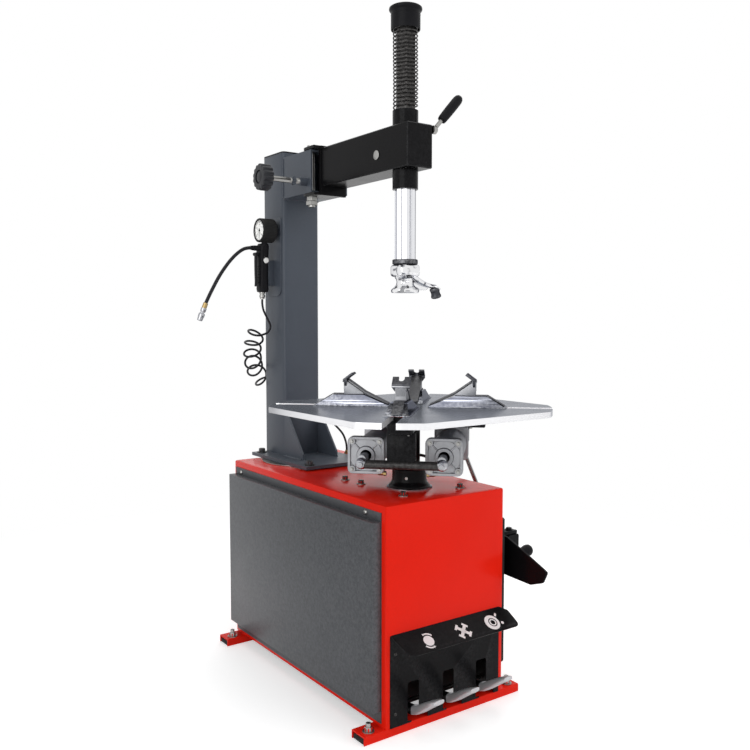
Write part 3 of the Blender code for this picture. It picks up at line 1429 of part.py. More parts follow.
def make_inflator(trigger_pivot, needle_pivot):
    face = COLUMN_LEFT - FIT
    outline = rounded(
        [(HANGER_FRONT, HANGER_LOW), (HANGER_REAR, HANGER_LOW), (HANGER_REAR, HANGER_HIGH),
         (HANGER_FRONT, HANGER_HIGH)],
        [0.030, 0.010, 0.010, 0.010],
    )
    shelf_z = GRIP_LOW + 0.020
    shapes = [
        plate([outline], HANGER_SHEET, side_view(face - HANGER_SHEET / 2)),
        block((GRIP_X + GRIP_WIDTH / 2 + FIT, GRIP_Y - 0.012, shelf_z), (face - 0.001, GRIP_Y + 0.012,
                                                                        shelf_z + 0.080)),
    ]
    piece("gun_hanger", "black_paint", machine, shapes)
    outer = face - HANGER_SHEET - FIT
    shapes = [
        rod((GAUGE_BACK_X, GAUGE_Y, GAUGE_Z), (GAUGE_FACE_X, GAUGE_Y, GAUGE_Z), GAUGE_RADIUS, sides=32),
        rod((outer, GAUGE_Y, GAUGE_Z), (GAUGE_BACK_X - 0.002, GAUGE_Y, GAUGE_Z), 0.014),
    ]
    dial = rod((GAUGE_FACE_X + 0.003, GAUGE_Y, GAUGE_Z), (GAUGE_FACE_X - 0.003, GAUGE_Y, GAUGE_Z),
               GAUGE_RADIUS - 0.003, sides=32)
    piece("gauge_case", "black_plastic", machine, shapes, [dial])
    needle_x = GAUGE_FACE_X + 0.003 - FIT
    shapes = [
        rod((needle_x, GAUGE_Y, GAUGE_Z), (needle_x - 0.0016, GAUGE_Y, GAUGE_Z), 0.0035, sides=16),
        block((needle_x - 0.0014, GAUGE_Y - 0.0011, GAUGE_Z - 0.024), (needle_x - 0.0004, GAUGE_Y + 0.0011,
                                                                      GAUGE_Z)),
    ]
    piece("gauge_needle", "black_plastic", needle_pivot, shapes)
    half = GRIP_WIDTH / 2
    deep = GRIP_DEPTH / 2
    high = GAUGE_Z - GAUGE_RADIUS - 0.004
    shapes = [
        block((GRIP_X - half, GRIP_Y - deep, GRIP_LOW), (GRIP_X + half, GRIP_Y + deep, high),
              0.007, "XYZ", 1),
        rod((GRIP_X, GAUGE_Y + 0.008, high - 0.010), (GRIP_X, GAUGE_Y + 0.008, high + 0.004),
            0.009, sides=20),
        rod((GRIP_X, GRIP_Y, GRIP_LOW + 0.004), (GRIP_X, GRIP_Y, GRIP_LOW - 0.022), 0.009, sides=16),
        rod((GRIP_X, WHIP_Y, WHIP_Z), (WHIP_X, WHIP_Y, WHIP_Z), 0.008, sides=20),
    ]
    gauge_room = rod((GAUGE_BACK_X + 0.01, GAUGE_Y, GAUGE_Z), (GAUGE_FACE_X - 0.01, GAUGE_Y, GAUGE_Z),
                     GAUGE_RADIUS + FIT, sides=32)
    piece("inflator_body", "black_plastic", machine, shapes, [gauge_room])
    x = GRIP_OUTER_X - TRIGGER_THICKNESS / 2 - 0.0045
    trigger_high = WHIP_Z - 0.014
    low = trigger_high - TRIGGER_LENGTH
    shapes = [
        block((x - TRIGGER_THICKNESS / 2, GRIP_Y - 0.009, low), (x + TRIGGER_THICKNESS / 2, GRIP_Y + 0.009,
                                                                trigger_high), 0.0015, "Z", 1),
        rod((x, GRIP_Y - 0.009, trigger_high - 0.004), (x, GRIP_Y + 0.009, trigger_high - 0.004),
            GRIP_OUTER_X - x - FIT, sides=16),
    ]
    piece("inflator_trigger", "black_plastic", trigger_pivot, shapes)


WHIP_X = -0.1380
WHIP_Y = 0.770
WHIP_Z = 1.236
WHIP_POINTS = (
    (WHIP_X - FIT, WHIP_Y, WHIP_Z),
    (-0.152, WHIP_Y, WHIP_Z),
    (-0.174, 0.770, 1.2310),
    (-0.198, 0.770, 1.2150),
    (-0.225, 0.770, 1.1880),
    (-0.255, 0.770, 1.1480),
    (-0.282, 0.770, 1.1020),
    (-0.302, 0.770, 1.0630),
    (-0.308, 0.770, 1.0480),
)


def make_whip_hose():
    points = [Vector(point) for point in WHIP_POINTS]
    route = straight_ends(smooth_route(points, 2.2 * HOSE_RADIUS), points, HOSE_RADIUS)
    obj = tube_object("whip_hose", route, HOSE_RADIUS, 2, machine_pieces)
    obj.data.materials.append(materials["black_rubber"])
    place_under(obj, machine)
    print(f"whip_hose length {route_length(route):.4f} m")
    way = (points[-1] - points[-2]).normalized()
    start = points[-1] + way * FIT
    ferrule = start + way * 0.012
    chuck = ferrule + way * 0.006
    end = chuck + way * 0.022
    shapes = [
        rod(start, ferrule + way * 0.001, 0.0085, sides=16),
        rod(ferrule, chuck + way * 0.001, 0.0060, sides=16),
        rod(chuck, end, 0.0095, 0.0075, sides=20),
    ]
    piece("whip_chuck", "chrome", machine, shapes)


COIL_LEAD = (
    (GRIP_X, GRIP_Y, GRIP_LOW - 0.022 - FIT),
    (GRIP_X, GRIP_Y, GRIP_LOW - 0.036),
    (-0.1150, 0.786, 1.037),
    (-0.1120, 0.800, 1.006),
)
COIL_AXIS = (
    (-0.1130, 0.801, 0.976),
    (-0.1210, 0.8075, 0.950),
    (-0.1260, 0.812, 0.920),
    (-0.1180, 0.824, 0.882),
    (-0.0920, 0.856, 0.848),
    (-0.0500, 0.884, 0.812),
    (0.0000, 0.886, 0.775),
    (0.0520, 0.886, 0.738),
    (0.0980, 0.872, 0.708),
    (0.1180, 0.826, 0.694),
    (0.1160, 0.770, 0.690),
    (0.1140, 0.715, 0.683),
    (0.1180, 0.680, 0.674),
    (0.1400, 0.655, 0.652),
)
COIL_TAIL = (
    (0.1490, 0.660, 0.624),
    (0.1530, 0.680, 0.600),
    (0.1530, 0.690, CABINET_TOP + 0.014),
    (0.1530, 0.690, CABINET_TOP + FIT),
)


def coil_route():
    """A straight lead, close tilted curls that then draw out along a smooth axis, and a tail."""
    axis = smooth_route([Vector(point) for point in COIL_AXIS], 0.002)
    count = COIL_TURNS * COIL_POINTS_A_TURN
    length = route_length(axis)
    open_pitch = (length - COIL_CLOSE_TURNS * COIL_CLOSE_PITCH) / (COIL_TURNS - COIL_CLOSE_TURNS)
    across = Vector((1, 0, 0))
    curls = []
    for step in range(count + 1):
        turned = step / COIL_POINTS_A_TURN
        run = min(turned, COIL_CLOSE_TURNS) * COIL_CLOSE_PITCH + max(0.0, turned - COIL_CLOSE_TURNS) * open_pitch
        i = min(round(run / length * (len(axis) - 1)), len(axis) - 2)
        way = (axis[i + 1] - axis[i]).normalized()
        across = (across - way * across.dot(way)).normalized()
        beside = way.cross(across)
        grow = min(1.0, turned * 0.9 + 0.45, (COIL_TURNS - turned) * 0.9 + 0.45)
        angle = 2 * math.pi * turned
        offset = COIL_RADIUS * grow * (across * math.cos(angle) + beside * math.sin(angle))
        fade = max(0.0, min(1.0, COIL_CLOSE_TURNS + 1 - turned))
        offset.rotate(Matrix.Rotation(COIL_TILT * fade, 3, Vector((0.81, -0.58, 0))))
        curls.append(axis[i] + offset)
    lead = [Vector(point) for point in COIL_LEAD]
    tail = [Vector(point) for point in COIL_TAIL]
    return lead + curls[1:-1] + tail


def make_coil_hose():
    route = coil_route()
    obj = tube_object("coil_hose", route, COIL_TUBE_RADIUS, 1, machine_pieces)
    obj.data.materials.append(materials["black_plastic"])
    place_under(obj, machine)
    gap = least_gap(route, COIL_TUBE_RADIUS, 5)
    print(f"coil_hose length {route_length(route):.4f} m, least gap to itself {1000 * gap:.2f} mm")


# Assembly


def make_machine():
    make_cabinet()
    make_side_cover()
    make_foot("front_foot", 0.0, ANCHOR_INSET * 0.8)
    make_foot("rear_foot", REAR_FOOT_START, REAR_FOOT_START + ANCHOR_INSET * 0.72)
    make_buffer()
    make_column()
    make_hinge_bracket()
    make_hinge_pin()
    make_hub_collar()
    make_gearbox()
    make_valve_block()
    make_pedal_guard()
    make_breaker_pivot()

    swing = new_empty("swing_axis", (PIN_X, PIN_Y, BRACKET_HIGH), machine)
    shaft = new_empty("shaft_axis", (0, SHAFT_Y, ARM_HIGH), swing)
    lever = new_empty("lever_axis", (ARM_WIDTH / 2, LEVER_Y, LEVER_ROOT_Z), swing)
    make_swing_arm(swing)
    make_spring(swing)
    make_tool_shaft(shaft)
    make_mount_head(shaft)
    make_lock_lever(lever)

    screw = new_empty("screw_axis", (PIN_X, PIN_Y, SCREW_HEIGHT), machine)
    wheel = new_empty("wheel_axis", (WHEEL_OUTER_X, PIN_Y, SCREW_HEIGHT), screw)
    make_lock_screw(screw, wheel)

    table = new_empty("table_axis", (0, TABLE_Y, TABLE_TOP), machine)
    make_turntable(table)
    for name in JAW_ANGLES:
        place = radial(name) @ Vector((JAW_FACE, 0, TABLE_TOP))
        slide = new_empty(f"slide_{name}_place", place, table)
        make_slide(name, slide)
        make_jaw(name, slide)
        if name == "front":
            make_clamp_yoke(slide)
        if name == "rear":
            make_clamp_cylinders(slide)
            make_clamp_hose(slide)

    pivots = {
        name: new_empty(f"{name}_axis", (x, PEDAL_SHAFT_Y, PEDAL_SHAFT_Z), machine)
        for name, x in PEDAL_PLACES.items()
    }
    make_pedals(pivots)

    arm = new_empty("breaker_axis", (BREAKER_PIVOT_X, BREAKER_PIVOT_Y, BREAKER_MIDDLE_Z), machine)
    pin = blade_pin_place()
    blade = new_empty("blade_axis", (pin.x, pin.y, BREAKER_MIDDLE_Z), arm)
    ram = new_empty("ram_axis", (HALF_CABINET, BREAKER_ROD_Y, BREAKER_MIDDLE_Z), machine)
    make_breaker_arm(arm)
    make_breaker_blade(blade)
    make_breaker_ram(ram)

    large = new_empty("gearbox_pulley_axis", (0, DRIVE_PLANE_Y, LARGE_PULLEY_Z), machine)
    small = new_empty("motor_pulley_axis", (0, DRIVE_PLANE_Y, SMALL_PULLEY_Z), machine)
    make_drive(large, small)

    trigger_place = (GRIP_OUTER_X - 0.0065, GRIP_Y, WHIP_Z - 0.018)
    trigger = new_empty("trigger_axis", trigger_place, machine)
    needle = new_empty("needle_axis", (GAUGE_FACE_X, GAUGE_Y, GAUGE_Z), machine)
    make_inflator(trigger, needle)
    make_whip_hose()
    make_coil_hose()


def shade_round_pieces():
    for obj in machine_pieces.objects:
        if obj.type == "MESH":
            obj.data.shade_smooth()
            obj.data.set_sharp_from_angle(angle=math.radians(32))


def centre_machine():
    """Moves the machine so that its origin lies under the middle of its box, the hoses left out."""
    bpy.context.view_layer.update()
    graph = bpy.context.evaluated_depsgraph_get()
    low = np.full(3, np.inf)
    high = np.full(3, -np.inf)
    for obj in machine_pieces.objects:
        if obj.type not in ("MESH", "CURVE") or obj.name in CORD_PIECES:
            continue
        evaluated = obj.evaluated_get(graph)
        mesh = evaluated.to_mesh()
        for vertex in mesh.vertices:
            place = evaluated.matrix_world @ vertex.co
            low = np.minimum(low, place)
            high = np.maximum(high, place)
        evaluated.to_mesh_clear()
    middle = (low + high) / 2
    machine.location = (-middle[0], -middle[1], -low[2])
    bpy.context.view_layer.update()
    print("machine box", np.round(low, 5), np.round(high, 5))
    print("machine moved by", [round(value, 6) for value in machine.location])


make_machine()
shade_round_pieces()
centre_machine()
for obj in machine_pieces.objects:
    if obj.type == "EMPTY":
        print("axis", obj.name, [round(value, 5) for value in obj.matrix_world.translation])
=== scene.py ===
import json
import math

import bmesh
import bpy
import numpy as np
from mathutils import Matrix, Vector


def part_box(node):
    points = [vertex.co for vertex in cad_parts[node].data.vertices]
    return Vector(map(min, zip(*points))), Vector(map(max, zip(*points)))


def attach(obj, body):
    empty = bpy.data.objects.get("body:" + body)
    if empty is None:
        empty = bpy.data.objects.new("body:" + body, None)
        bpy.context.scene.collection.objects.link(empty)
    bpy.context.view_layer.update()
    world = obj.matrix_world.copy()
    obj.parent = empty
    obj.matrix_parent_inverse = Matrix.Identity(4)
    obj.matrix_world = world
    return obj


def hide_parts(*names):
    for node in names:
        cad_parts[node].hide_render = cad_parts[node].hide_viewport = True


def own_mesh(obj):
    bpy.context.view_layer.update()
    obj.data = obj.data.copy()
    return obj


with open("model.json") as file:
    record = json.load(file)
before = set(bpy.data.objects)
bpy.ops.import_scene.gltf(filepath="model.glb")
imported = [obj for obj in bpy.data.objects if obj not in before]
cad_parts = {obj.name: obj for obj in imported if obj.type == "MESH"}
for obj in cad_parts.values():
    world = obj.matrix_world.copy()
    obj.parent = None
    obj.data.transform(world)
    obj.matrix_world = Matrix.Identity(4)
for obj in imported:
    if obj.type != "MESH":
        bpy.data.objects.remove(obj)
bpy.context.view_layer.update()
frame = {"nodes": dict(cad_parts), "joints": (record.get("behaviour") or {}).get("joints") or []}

nodes = frame["nodes"]
scene = bpy.context.scene

# Lengths are laid out from the middle of the cabinet's front face at floor level
cabinet = {"halfWidth": 0.193, "low": 0.0223, "top": 0.57, "depth": 0.81, "skin": 0.007}
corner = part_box("cabinet_shell")[0]
home = Vector((corner.x + cabinet["halfWidth"], corner.y, corner.z - cabinet["low"]))
tableCentre = Vector((0, 0.158, 0))


def jointPlace(name):
    joint = next(joint for joint in frame["joints"] if joint["name"] == name)
    return Vector(joint["pos_m"]) - home


# the photo was taken a little above the table, from the front left
view = {"place": (-1.344, -1.569, 1.014), "turn": 35.4955, "down": 3.828, "lens": 39.84, "sensor": 36.0}


def spun(axis, degrees):
    return Matrix.Rotation(math.radians(degrees), 4, axis)


def at(place, axis="Z", degrees=0):
    return Matrix.Translation(place) @ spun(axis, degrees)


def addCamera():
    data = bpy.data.cameras.new("photoCamera")
    data.lens = view["lens"]
    data.sensor_width = view["sensor"]
    camera = bpy.data.objects.new("photoCamera", data)
    scene.collection.objects.link(camera)
    turn = spun("Z", -view["turn"])
    tilt = spun("X", 90 - view["down"])
    camera.matrix_world = at(Vector(view["place"]) + home) @ turn @ tilt
    scene.camera = camera


addCamera()
print("camera placed")


# shapes come as bmeshes in the machine's own coordinates
def box(low, high, bevel=0.0, segments=2, along="XYZ"):
    bm = bmesh.new()
    bmesh.ops.create_cube(bm, size=1.0)
    low = Vector(low)
    high = Vector(high)
    bmesh.ops.scale(bm, vec=high - low, verts=bm.verts)
    bmesh.ops.translate(bm, vec=(high + low) / 2, verts=bm.verts)
    if bevel:
        wanted = []
        for edge in bm.edges:
            span = edge.verts[1].co - edge.verts[0].co
            if "XYZ"[max(range(3), key=lambda axis: abs(span[axis]))] in along:
                wanted.append(edge)
        bmesh.ops.bevel(bm, geom=wanted, offset=bevel, segments=segments, profile=0.5, affect="EDGES")
    return bm


def rod(start, end, radius, endRadius=None, sides=40, twist=0.0):
    start = Vector(start)
    end = Vector(end)
    bm = bmesh.new()
    bmesh.ops.create_cone(
        bm,
        cap_ends=True,
        segments=sides,
        radius1=radius,
        radius2=radius if endRadius is None else endRadius,
        depth=(end - start).length,
    )
    lean = Vector((0, 0, 1)).rotation_difference(end - start).to_matrix().to_4x4()
    matrix = at((start + end) / 2) @ lean @ Matrix.Rotation(twist, 4, "Z")
    bmesh.ops.transform(bm, matrix=matrix, verts=bm.verts)
    return bm


def ball(centre, radius, squeeze=(1, 1, 1)):
    bm = bmesh.new()
    bmesh.ops.create_uvsphere(bm, u_segments=32, v_segments=20, radius=radius)
    bmesh.ops.scale(bm, vec=squeeze, verts=bm.verts)
    bmesh.ops.translate(bm, vec=centre, verts=bm.verts)
    return bm


def torus(centre, radius, thickness, matrix=Matrix(), steps=40):
    points = []
    for step in range(steps):
        angle = 2 * math.pi * step / steps
        points.append(matrix @ Vector((radius * math.cos(angle), radius * math.sin(angle), 0)) + Vector(centre))
    return tube(points, thickness, closed=True)


def lathe(profile, matrix=Matrix(), steps=64):
    # profile: (radius, height) from top to foot, turned about local Z
    bm = bmesh.new()
    verts = [bm.verts.new((radius, 0, height)) for radius, height in profile]
    edges = [bm.edges.new(pair) for pair in zip(verts, verts[1:])]
    bmesh.ops.spin(
        bm, geom=verts + edges, cent=(0, 0, 0), axis=(0, 0, 1), dvec=(0, 0, 0), angle=2 * math.pi,
        steps=steps, use_merge=True,
    )
    bmesh.ops.remove_doubles(bm, verts=bm.verts, dist=0.00001)
    bmesh.ops.transform(bm, matrix=matrix, verts=bm.verts)
    bmesh.ops.recalc_face_normals(bm, faces=bm.faces)
    return bm


def strand(name, points, radius, resolution, closed=False, radii=None):
    # a round bar along a line of points
    curve = bpy.data.curves.new(name, "CURVE")
    curve.dimensions = "3D"
    curve.bevel_depth = radius
    curve.bevel_resolution = resolution
    curve.use_fill_caps = not closed
    spline = curve.splines.new("POLY")
    spline.points.add(len(points) - 1)
    for i, place in enumerate(points):
        spline.points[i].co = (*place, 1)
        if radii:
            spline.points[i].radius = radii[i] / radius
    spline.use_cyclic_u = closed
    return curve


def tube(points, radius, closed=False, sides=12, radii=None):
    return meshOf(strand("tube", points, radius, (sides - 4) // 2, closed, radii))


def plate(outlines, thickness, matrix, bevel=0.0):
    curve = bpy.data.curves.new("plate", "CURVE")
    curve.dimensions = "2D"
    curve.fill_mode = "BOTH"
    curve.extrude = thickness / 2 - bevel
    curve.bevel_depth = bevel
    curve.bevel_resolution = 1
    curve.offset = -bevel
    for outline in outlines:
        spline = curve.splines.new("POLY")
        spline.points.add(len(outline) - 1)
        for point, (x, y) in zip(spline.points, outline):
            point.co = (x, y, 0, 1)
        spline.use_cyclic_u = True
    bm = meshOf(curve)
    bmesh.ops.transform(bm, matrix=matrix, verts=bm.verts)
    bmesh.ops.recalc_face_normals(bm, faces=bm.faces)
    return bm


def meshOf(data):
    helper = bpy.data.objects.new("helper", data)
    scene.collection.objects.link(helper)
    bm = evaluated(helper)
    bpy.data.objects.remove(helper)
    return bm


def evaluated(obj):
    bpy.context.view_layer.update()
    graph = bpy.context.evaluated_depsgraph_get()
    mesh = bpy.data.meshes.new_from_object(obj.evaluated_get(graph))
    bm = bmesh.new()
    bm.from_mesh(mesh)
    bmesh.ops.remove_doubles(bm, verts=bm.verts, dist=0.000005)
    bpy.data.meshes.remove(mesh)
    return bm


def loft(sections, sides, roundness):
    # sections: (x, y, z) of the centre and the (x, y, z) half sizes along the two directions of the ring
    bm = bmesh.new()
    rings = []
    for centre, first, second in sections:
        ring = []
        for step in range(sides):
            angle = 2 * math.pi * step / sides
            c = math.cos(angle)
            s = math.sin(angle)
            place = Vector(centre) + Vector(first) * math.copysign(abs(c) ** roundness, c)
            ring.append(bm.verts.new(place + Vector(second) * math.copysign(abs(s) ** roundness, s)))
        rings.append(ring)
    for near, far in zip(rings, rings[1:]):
        for i in range(sides):
            bm.faces.new((near[i], near[(i + 1) % sides], far[(i + 1) % sides], far[i]))
    bm.faces.new(rings[0][::-1])
    bm.faces.new(rings[-1])
    bmesh.ops.recalc_face_normals(bm, faces=bm.faces)
    return bm


def moved(bm, matrix):
    bmesh.ops.transform(bm, matrix=matrix, verts=bm.verts)
    return bm


def sideView(x):
    # local X and Y become the machine's Y and Z
    return Matrix(((0, 0, 1, x), (1, 0, 0, 0), (0, 1, 0, 0), (0, 0, 0, 1)))


def frontView(y):
    # local X and Y become the machine's X and Z
    return Matrix(((1, 0, 0, 0), (0, 0, -1, y), (0, 1, 0, 0), (0, 0, 0, 1)))


def rounded(corners, radius, steps=6):
    radii = radius if isinstance(radius, (list, tuple)) else [radius] * len(corners)
    outline = []
    for i, corner in enumerate(corners):
        here = Vector(corner)
        before = Vector(corners[i - 1])
        after = Vector(corners[(i + 1) % len(corners)])
        if not radii[i]:
            outline.append(tuple(here))
            continue
        back = (before - here).normalized()
        ahead = (after - here).normalized()
        run = radii[i] / math.tan(back.angle(ahead) / 2)
        for step in range(steps + 1):
            share = step / steps
            start = here + back * run
            end = here + ahead * run
            outline.append(tuple(start.lerp(here, share).lerp(here.lerp(end, share), share)))
    return outline


def smoothRoute(points, spacing, finer=24):
    points = [Vector(point) for point in points]
    ends = [2 * points[0] - points[1], *points, 2 * points[-1] - points[-2]]
    fine = []
    for i in range(1, len(ends) - 2):
        a, b, c, d = ends[i - 1 : i + 3]
        for step in range(finer):
            t = step / finer
            fine.append(0.5 * (2 * b + (c - a) * t + (2 * a - 5 * b + 4 * c - d) * t * t
                               + (3 * b - a - 3 * c + d) * t * t * t))
    fine.append(points[-1].copy())
    lengths = [0.0]
    for before, after in zip(fine, fine[1:]):
        lengths.append(lengths[-1] + (after - before).length)
    count = max(2, round(lengths[-1] / spacing))
    route = []
    for step in range(count + 1):
        goal = lengths[-1] * step / count
        i = min(max(1, int(np.searchsorted(lengths, goal))), len(fine) - 1)
        share = (goal - lengths[i - 1]) / (lengths[i] - lengths[i - 1])
        route.append(fine[i - 1].lerp(fine[i], share))
    return route


def routeLength(points):
    return sum((after - before).length for before, after in zip(points, points[1:]))


# every piece is one mesh object, set on the body that carries it
def meshObject(name, shapes):
    whole = bmesh.new()
    for bm in shapes:
        mesh = bpy.data.meshes.new("part")
        bm.to_mesh(mesh)
        bm.free()
        whole.from_mesh(mesh)
        bpy.data.meshes.remove(mesh)
    mesh = bpy.data.meshes.new(name)
    whole.to_mesh(mesh)
    whole.free()
    obj = bpy.data.objects.new(name, mesh)
    scene.collection.objects.link(obj)
    return obj


def softenEdges(obj, width, steepest):
    modifier = obj.modifiers.new("softEdges", "BEVEL")
    modifier.width = width
    modifier.segments = 2
    modifier.limit_method = "ANGLE"
    modifier.angle_limit = math.radians(steepest)
    modifier.harden_normals = True


def addPiece(name, body, finish, shapes, cuts=(), bevel=0.0, sharp=35, stands=(), slot=None, place=None):
    for bm in (*shapes, *cuts) if place else ():
        moved(bm, place)
    obj = meshObject(name, shapes)
    for cut in cuts:
        cutter = meshObject("cutter", [cut])
        modifier = obj.modifiers.new("cut", "BOOLEAN")
        modifier.solver = "EXACT"
        modifier.use_self = len(shapes) > 1
        modifier.operation = "DIFFERENCE"
        modifier.object = cutter
        bm = evaluated(obj)
        obj.modifiers.remove(modifier)
        bm.to_mesh(obj.data)
        bm.free()
        bpy.data.objects.remove(cutter)
    if bevel:
        softenEdges(obj, bevel, 38)
    obj.data.shade_smooth()
    obj.data.set_sharp_from_angle(angle=math.radians(sharp))
    obj.data.materials.append(surfaces[finish])
    obj.location = home
    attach(obj, body)
    if stands:
        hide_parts(*stands)
    return obj


def smoothGroup():
    # welds a CAD piece's triangles and shades it smooth except at its real edges
    group = bpy.data.node_groups.new("smoothByAngle", "GeometryNodeTree")
    group.interface.new_socket("Geometry", in_out="INPUT", socket_type="NodeSocketGeometry")
    group.interface.new_socket("Geometry", in_out="OUTPUT", socket_type="NodeSocketGeometry")
    make = group.nodes.new
    start = make("NodeGroupInput")
    end = make("NodeGroupOutput")
    weld = make("GeometryNodeMergeByDistance")
    weld.inputs["Distance"].default_value = 0.00001
    plain = make("GeometryNodeRemoveAttribute")
    plain.inputs["Name"].default_value = "custom_normal"
    allSmooth = make("GeometryNodeSetShadeSmooth")
    edgeSharp = make("GeometryNodeSetShadeSmooth")
    edgeSharp.domain = "EDGE"
    edgeSharp.inputs["Shade Smooth"].default_value = False
    angle = make("GeometryNodeInputMeshEdgeAngle")
    steep = make("FunctionNodeCompare")
    steep.inputs[1].default_value = math.radians(33)
    link = group.links.new
    link(start.outputs[0], weld.inputs["Geometry"])
    link(weld.outputs[0], plain.inputs["Geometry"])
    link(plain.outputs[0], allSmooth.inputs["Geometry"])
    link(allSmooth.outputs[0], edgeSharp.inputs["Geometry"])
    link(angle.outputs["Unsigned Angle"], steep.inputs[0])
    link(steep.outputs[0], edgeSharp.inputs["Selection"])
    link(edgeSharp.outputs[0], end.inputs[0])
    return group


smoothByAngle = smoothGroup()


def dressNode(name, finish, bevel=0.0):
    obj = nodes[name]
    obj.data.materials.clear()
    obj.data.materials.append(surfaces[finish])
    modifier = obj.modifiers.new("smoothByAngle", "NODES")
    modifier.node_group = smoothByAngle
    if bevel:
        softenEdges(obj, bevel, 40)


# masks, bumps and roughness that the materials share
def newGroup(name, inputs, outputs):
    group = bpy.data.node_groups.new(name, "ShaderNodeTree")
    for label, value in inputs.items():
        group.interface.new_socket(label, in_out="INPUT", socket_type="NodeSocketFloat").default_value = value
    for label in outputs:
        kind = "NodeSocketVector" if label == "Normal" else "NodeSocketFloat"
        group.interface.new_socket(label, in_out="OUTPUT", socket_type=kind)
    return group, group.nodes.new("NodeGroupInput").outputs, group.nodes.new("NodeGroupOutput").inputs


def feed(tree, values, sockets):
    # numbers and colours are set, outputs of other nodes are linked
    for label, value in values.items():
        if isinstance(value, bpy.types.NodeSocket):
            tree.links.new(value, sockets[label])
        else:
            sockets[label].default_value = value


def addNode(tree, kind, values, **settings):
    node = tree.nodes.new("ShaderNode" + kind)
    for name, value in settings.items():
        setattr(node, name, value)
    feed(tree, values, node.inputs)
    return node.outputs


def mathNode(tree, operation, *values, clamp=False):
    return addNode(tree, "Math", dict(enumerate(values)), operation=operation, use_clamp=clamp)[0]


def raised(tree, value, low, factor, clamp=True):
    return mathNode(tree, "MULTIPLY", mathNode(tree, "SUBTRACT", value, low), factor, clamp=clamp)


def objectPoint(tree, stretch=(1, 1, 1)):
    point = addNode(tree, "TexCoord", {})["Object"]
    return addNode(tree, "Mapping", {"Scale": stretch, "Vector": point})["Vector"]


def splitAxes(tree, kind, output):
    return addNode(tree, "SeparateXYZ", {0: addNode(tree, kind, {})[output]})


def noiseNode(tree, point, scale, detail=3.0, roughness=0.55):
    inputs = {"Detail": detail, "Roughness": roughness, "Scale": scale, "Vector": point}
    return addNode(tree, "TexNoise", inputs)["Fac"]


def bumpNode(tree, height, strength, distance):
    return addNode(tree, "Bump", {"Strength": strength, "Distance": distance, "Height": height})["Normal"]


def makeSurfaceGrain():
    # fine texture of paint, casting or moulding: a bump and the mask it comes from
    group, given, out = newGroup("surfaceGrain", {"Scale": 300.0, "Depth": 0.1, "Distance": 0.0004},
                                 ("Mask", "Normal"))
    mask = noiseNode(group, objectPoint(group), given["Scale"], 4.0, 0.6)
    feed(group, {"Mask": mask, "Normal": bumpNode(group, mask, given["Depth"], given["Distance"])}, out)
    return group


def makeHandling():
    # broad smears and small rubs, for roughness that changes over a surface
    group, given, out = newGroup("handlingMarks", {"Roughness": 0.3, "Smears": 0.1, "Rubs": 0.05},
                                 ("Roughness", "Mask"))
    smears = noiseNode(group, objectPoint(group), 9.0, 5.0, 0.6)
    rubs = noiseNode(group, objectPoint(group, (1, 1, 0.15)), 160.0, 3.0, 0.7)
    marks = mathNode(group, "ADD", raised(group, smears, 0.5, given["Smears"], False),
                     raised(group, rubs, 0.5, given["Rubs"], False))
    total = mathNode(group, "MAXIMUM", mathNode(group, "ADD", given["Roughness"], marks), 0.04)
    feed(group, {"Roughness": mathNode(group, "MINIMUM", total, 1.0), "Mask": smears}, out)
    return group


def makeDust():
    # workshop dust that settles on what faces up
    group, given, out = newGroup("settledDust", {"Amount": 0.2}, ("Mask",))
    up = raised(group, splitAxes(group, "NewGeometry", "Normal")["Z"], 0.35, 1.6)
    patches = raised(group, noiseNode(group, objectPoint(group), 42.0, 6.0, 0.72), 0.38, 3.2)
    mask = mathNode(group, "MULTIPLY", up, patches)
    feed(group, {"Mask": mathNode(group, "MULTIPLY", mask, given["Amount"])}, out)
    return group


def makeEdgeWearAndHighlight():
    # paint or plating thinned where a surface turns sharply; where its colour is near white, as on the slide covers,
    # the mask is a painted highlight along the edges
    group, given, out = newGroup("edgeWearAndHighlight", {"Amount": 0.5, "Spread": 12.0}, ("Mask",))
    edge = raised(group, addNode(group, "NewGeometry", {})["Pointiness"], 0.515, given["Spread"])
    chips = raised(group, noiseNode(group, objectPoint(group), 130.0, 4.0, 0.7), 0.35, 2.6)
    mask = mathNode(group, "MULTIPLY", edge, chips)
    feed(group, {"Mask": mathNode(group, "MULTIPLY", mask, given["Amount"])}, out)
    return group


def makeTurnedLines():
    # the fine rings that a lathe or grinder leaves about a point
    group, given, out = newGroup("turnedLines", {"Centre X": 0.0, "Centre Y": 0.0, "Spacing": 900.0}, ("Mask",))
    axes = splitAxes(group, "TexCoord", "Object")
    x = mathNode(group, "SUBTRACT", axes["X"], given["Centre X"])
    y = mathNode(group, "SUBTRACT", axes["Y"], given["Centre Y"])
    square = mathNode(group, "ADD", mathNode(group, "MULTIPLY", x, x), mathNode(group, "MULTIPLY", y, y))
    run = mathNode(group, "MULTIPLY", mathNode(group, "SQRT", square), given["Spacing"])
    around = mathNode(group, "MULTIPLY", mathNode(group, "ARCTAN2", y, x), 3.0)
    point = addNode(group, "CombineXYZ", {"X": run, "Y": around})[0]
    feed(group, {"Mask": noiseNode(group, point, 1.0, 4.0, 0.65)}, out)
    return group


def makeReflectionBands():
    # painted reflection: long soft bands of another colour, standing in for what polished metal reflects
    group, given, out = newGroup("paintedReflectionBands", {"Across": 5.0, "Rise": 150.0}, ("Mask",))
    axes = splitAxes(group, "TexCoord", "Object")
    spread = {axis: mathNode(group, "MULTIPLY", axes[axis], given["Rise" if axis == "Z" else "Across"])
              for axis in "XYZ"}
    reflectionBands = noiseNode(group, addNode(group, "CombineXYZ", spread)[0], 1.0, 1.5, 0.5)
    feed(group, {"Mask": raised(group, reflectionBands, 0.57, 9.0)}, out)
    return group


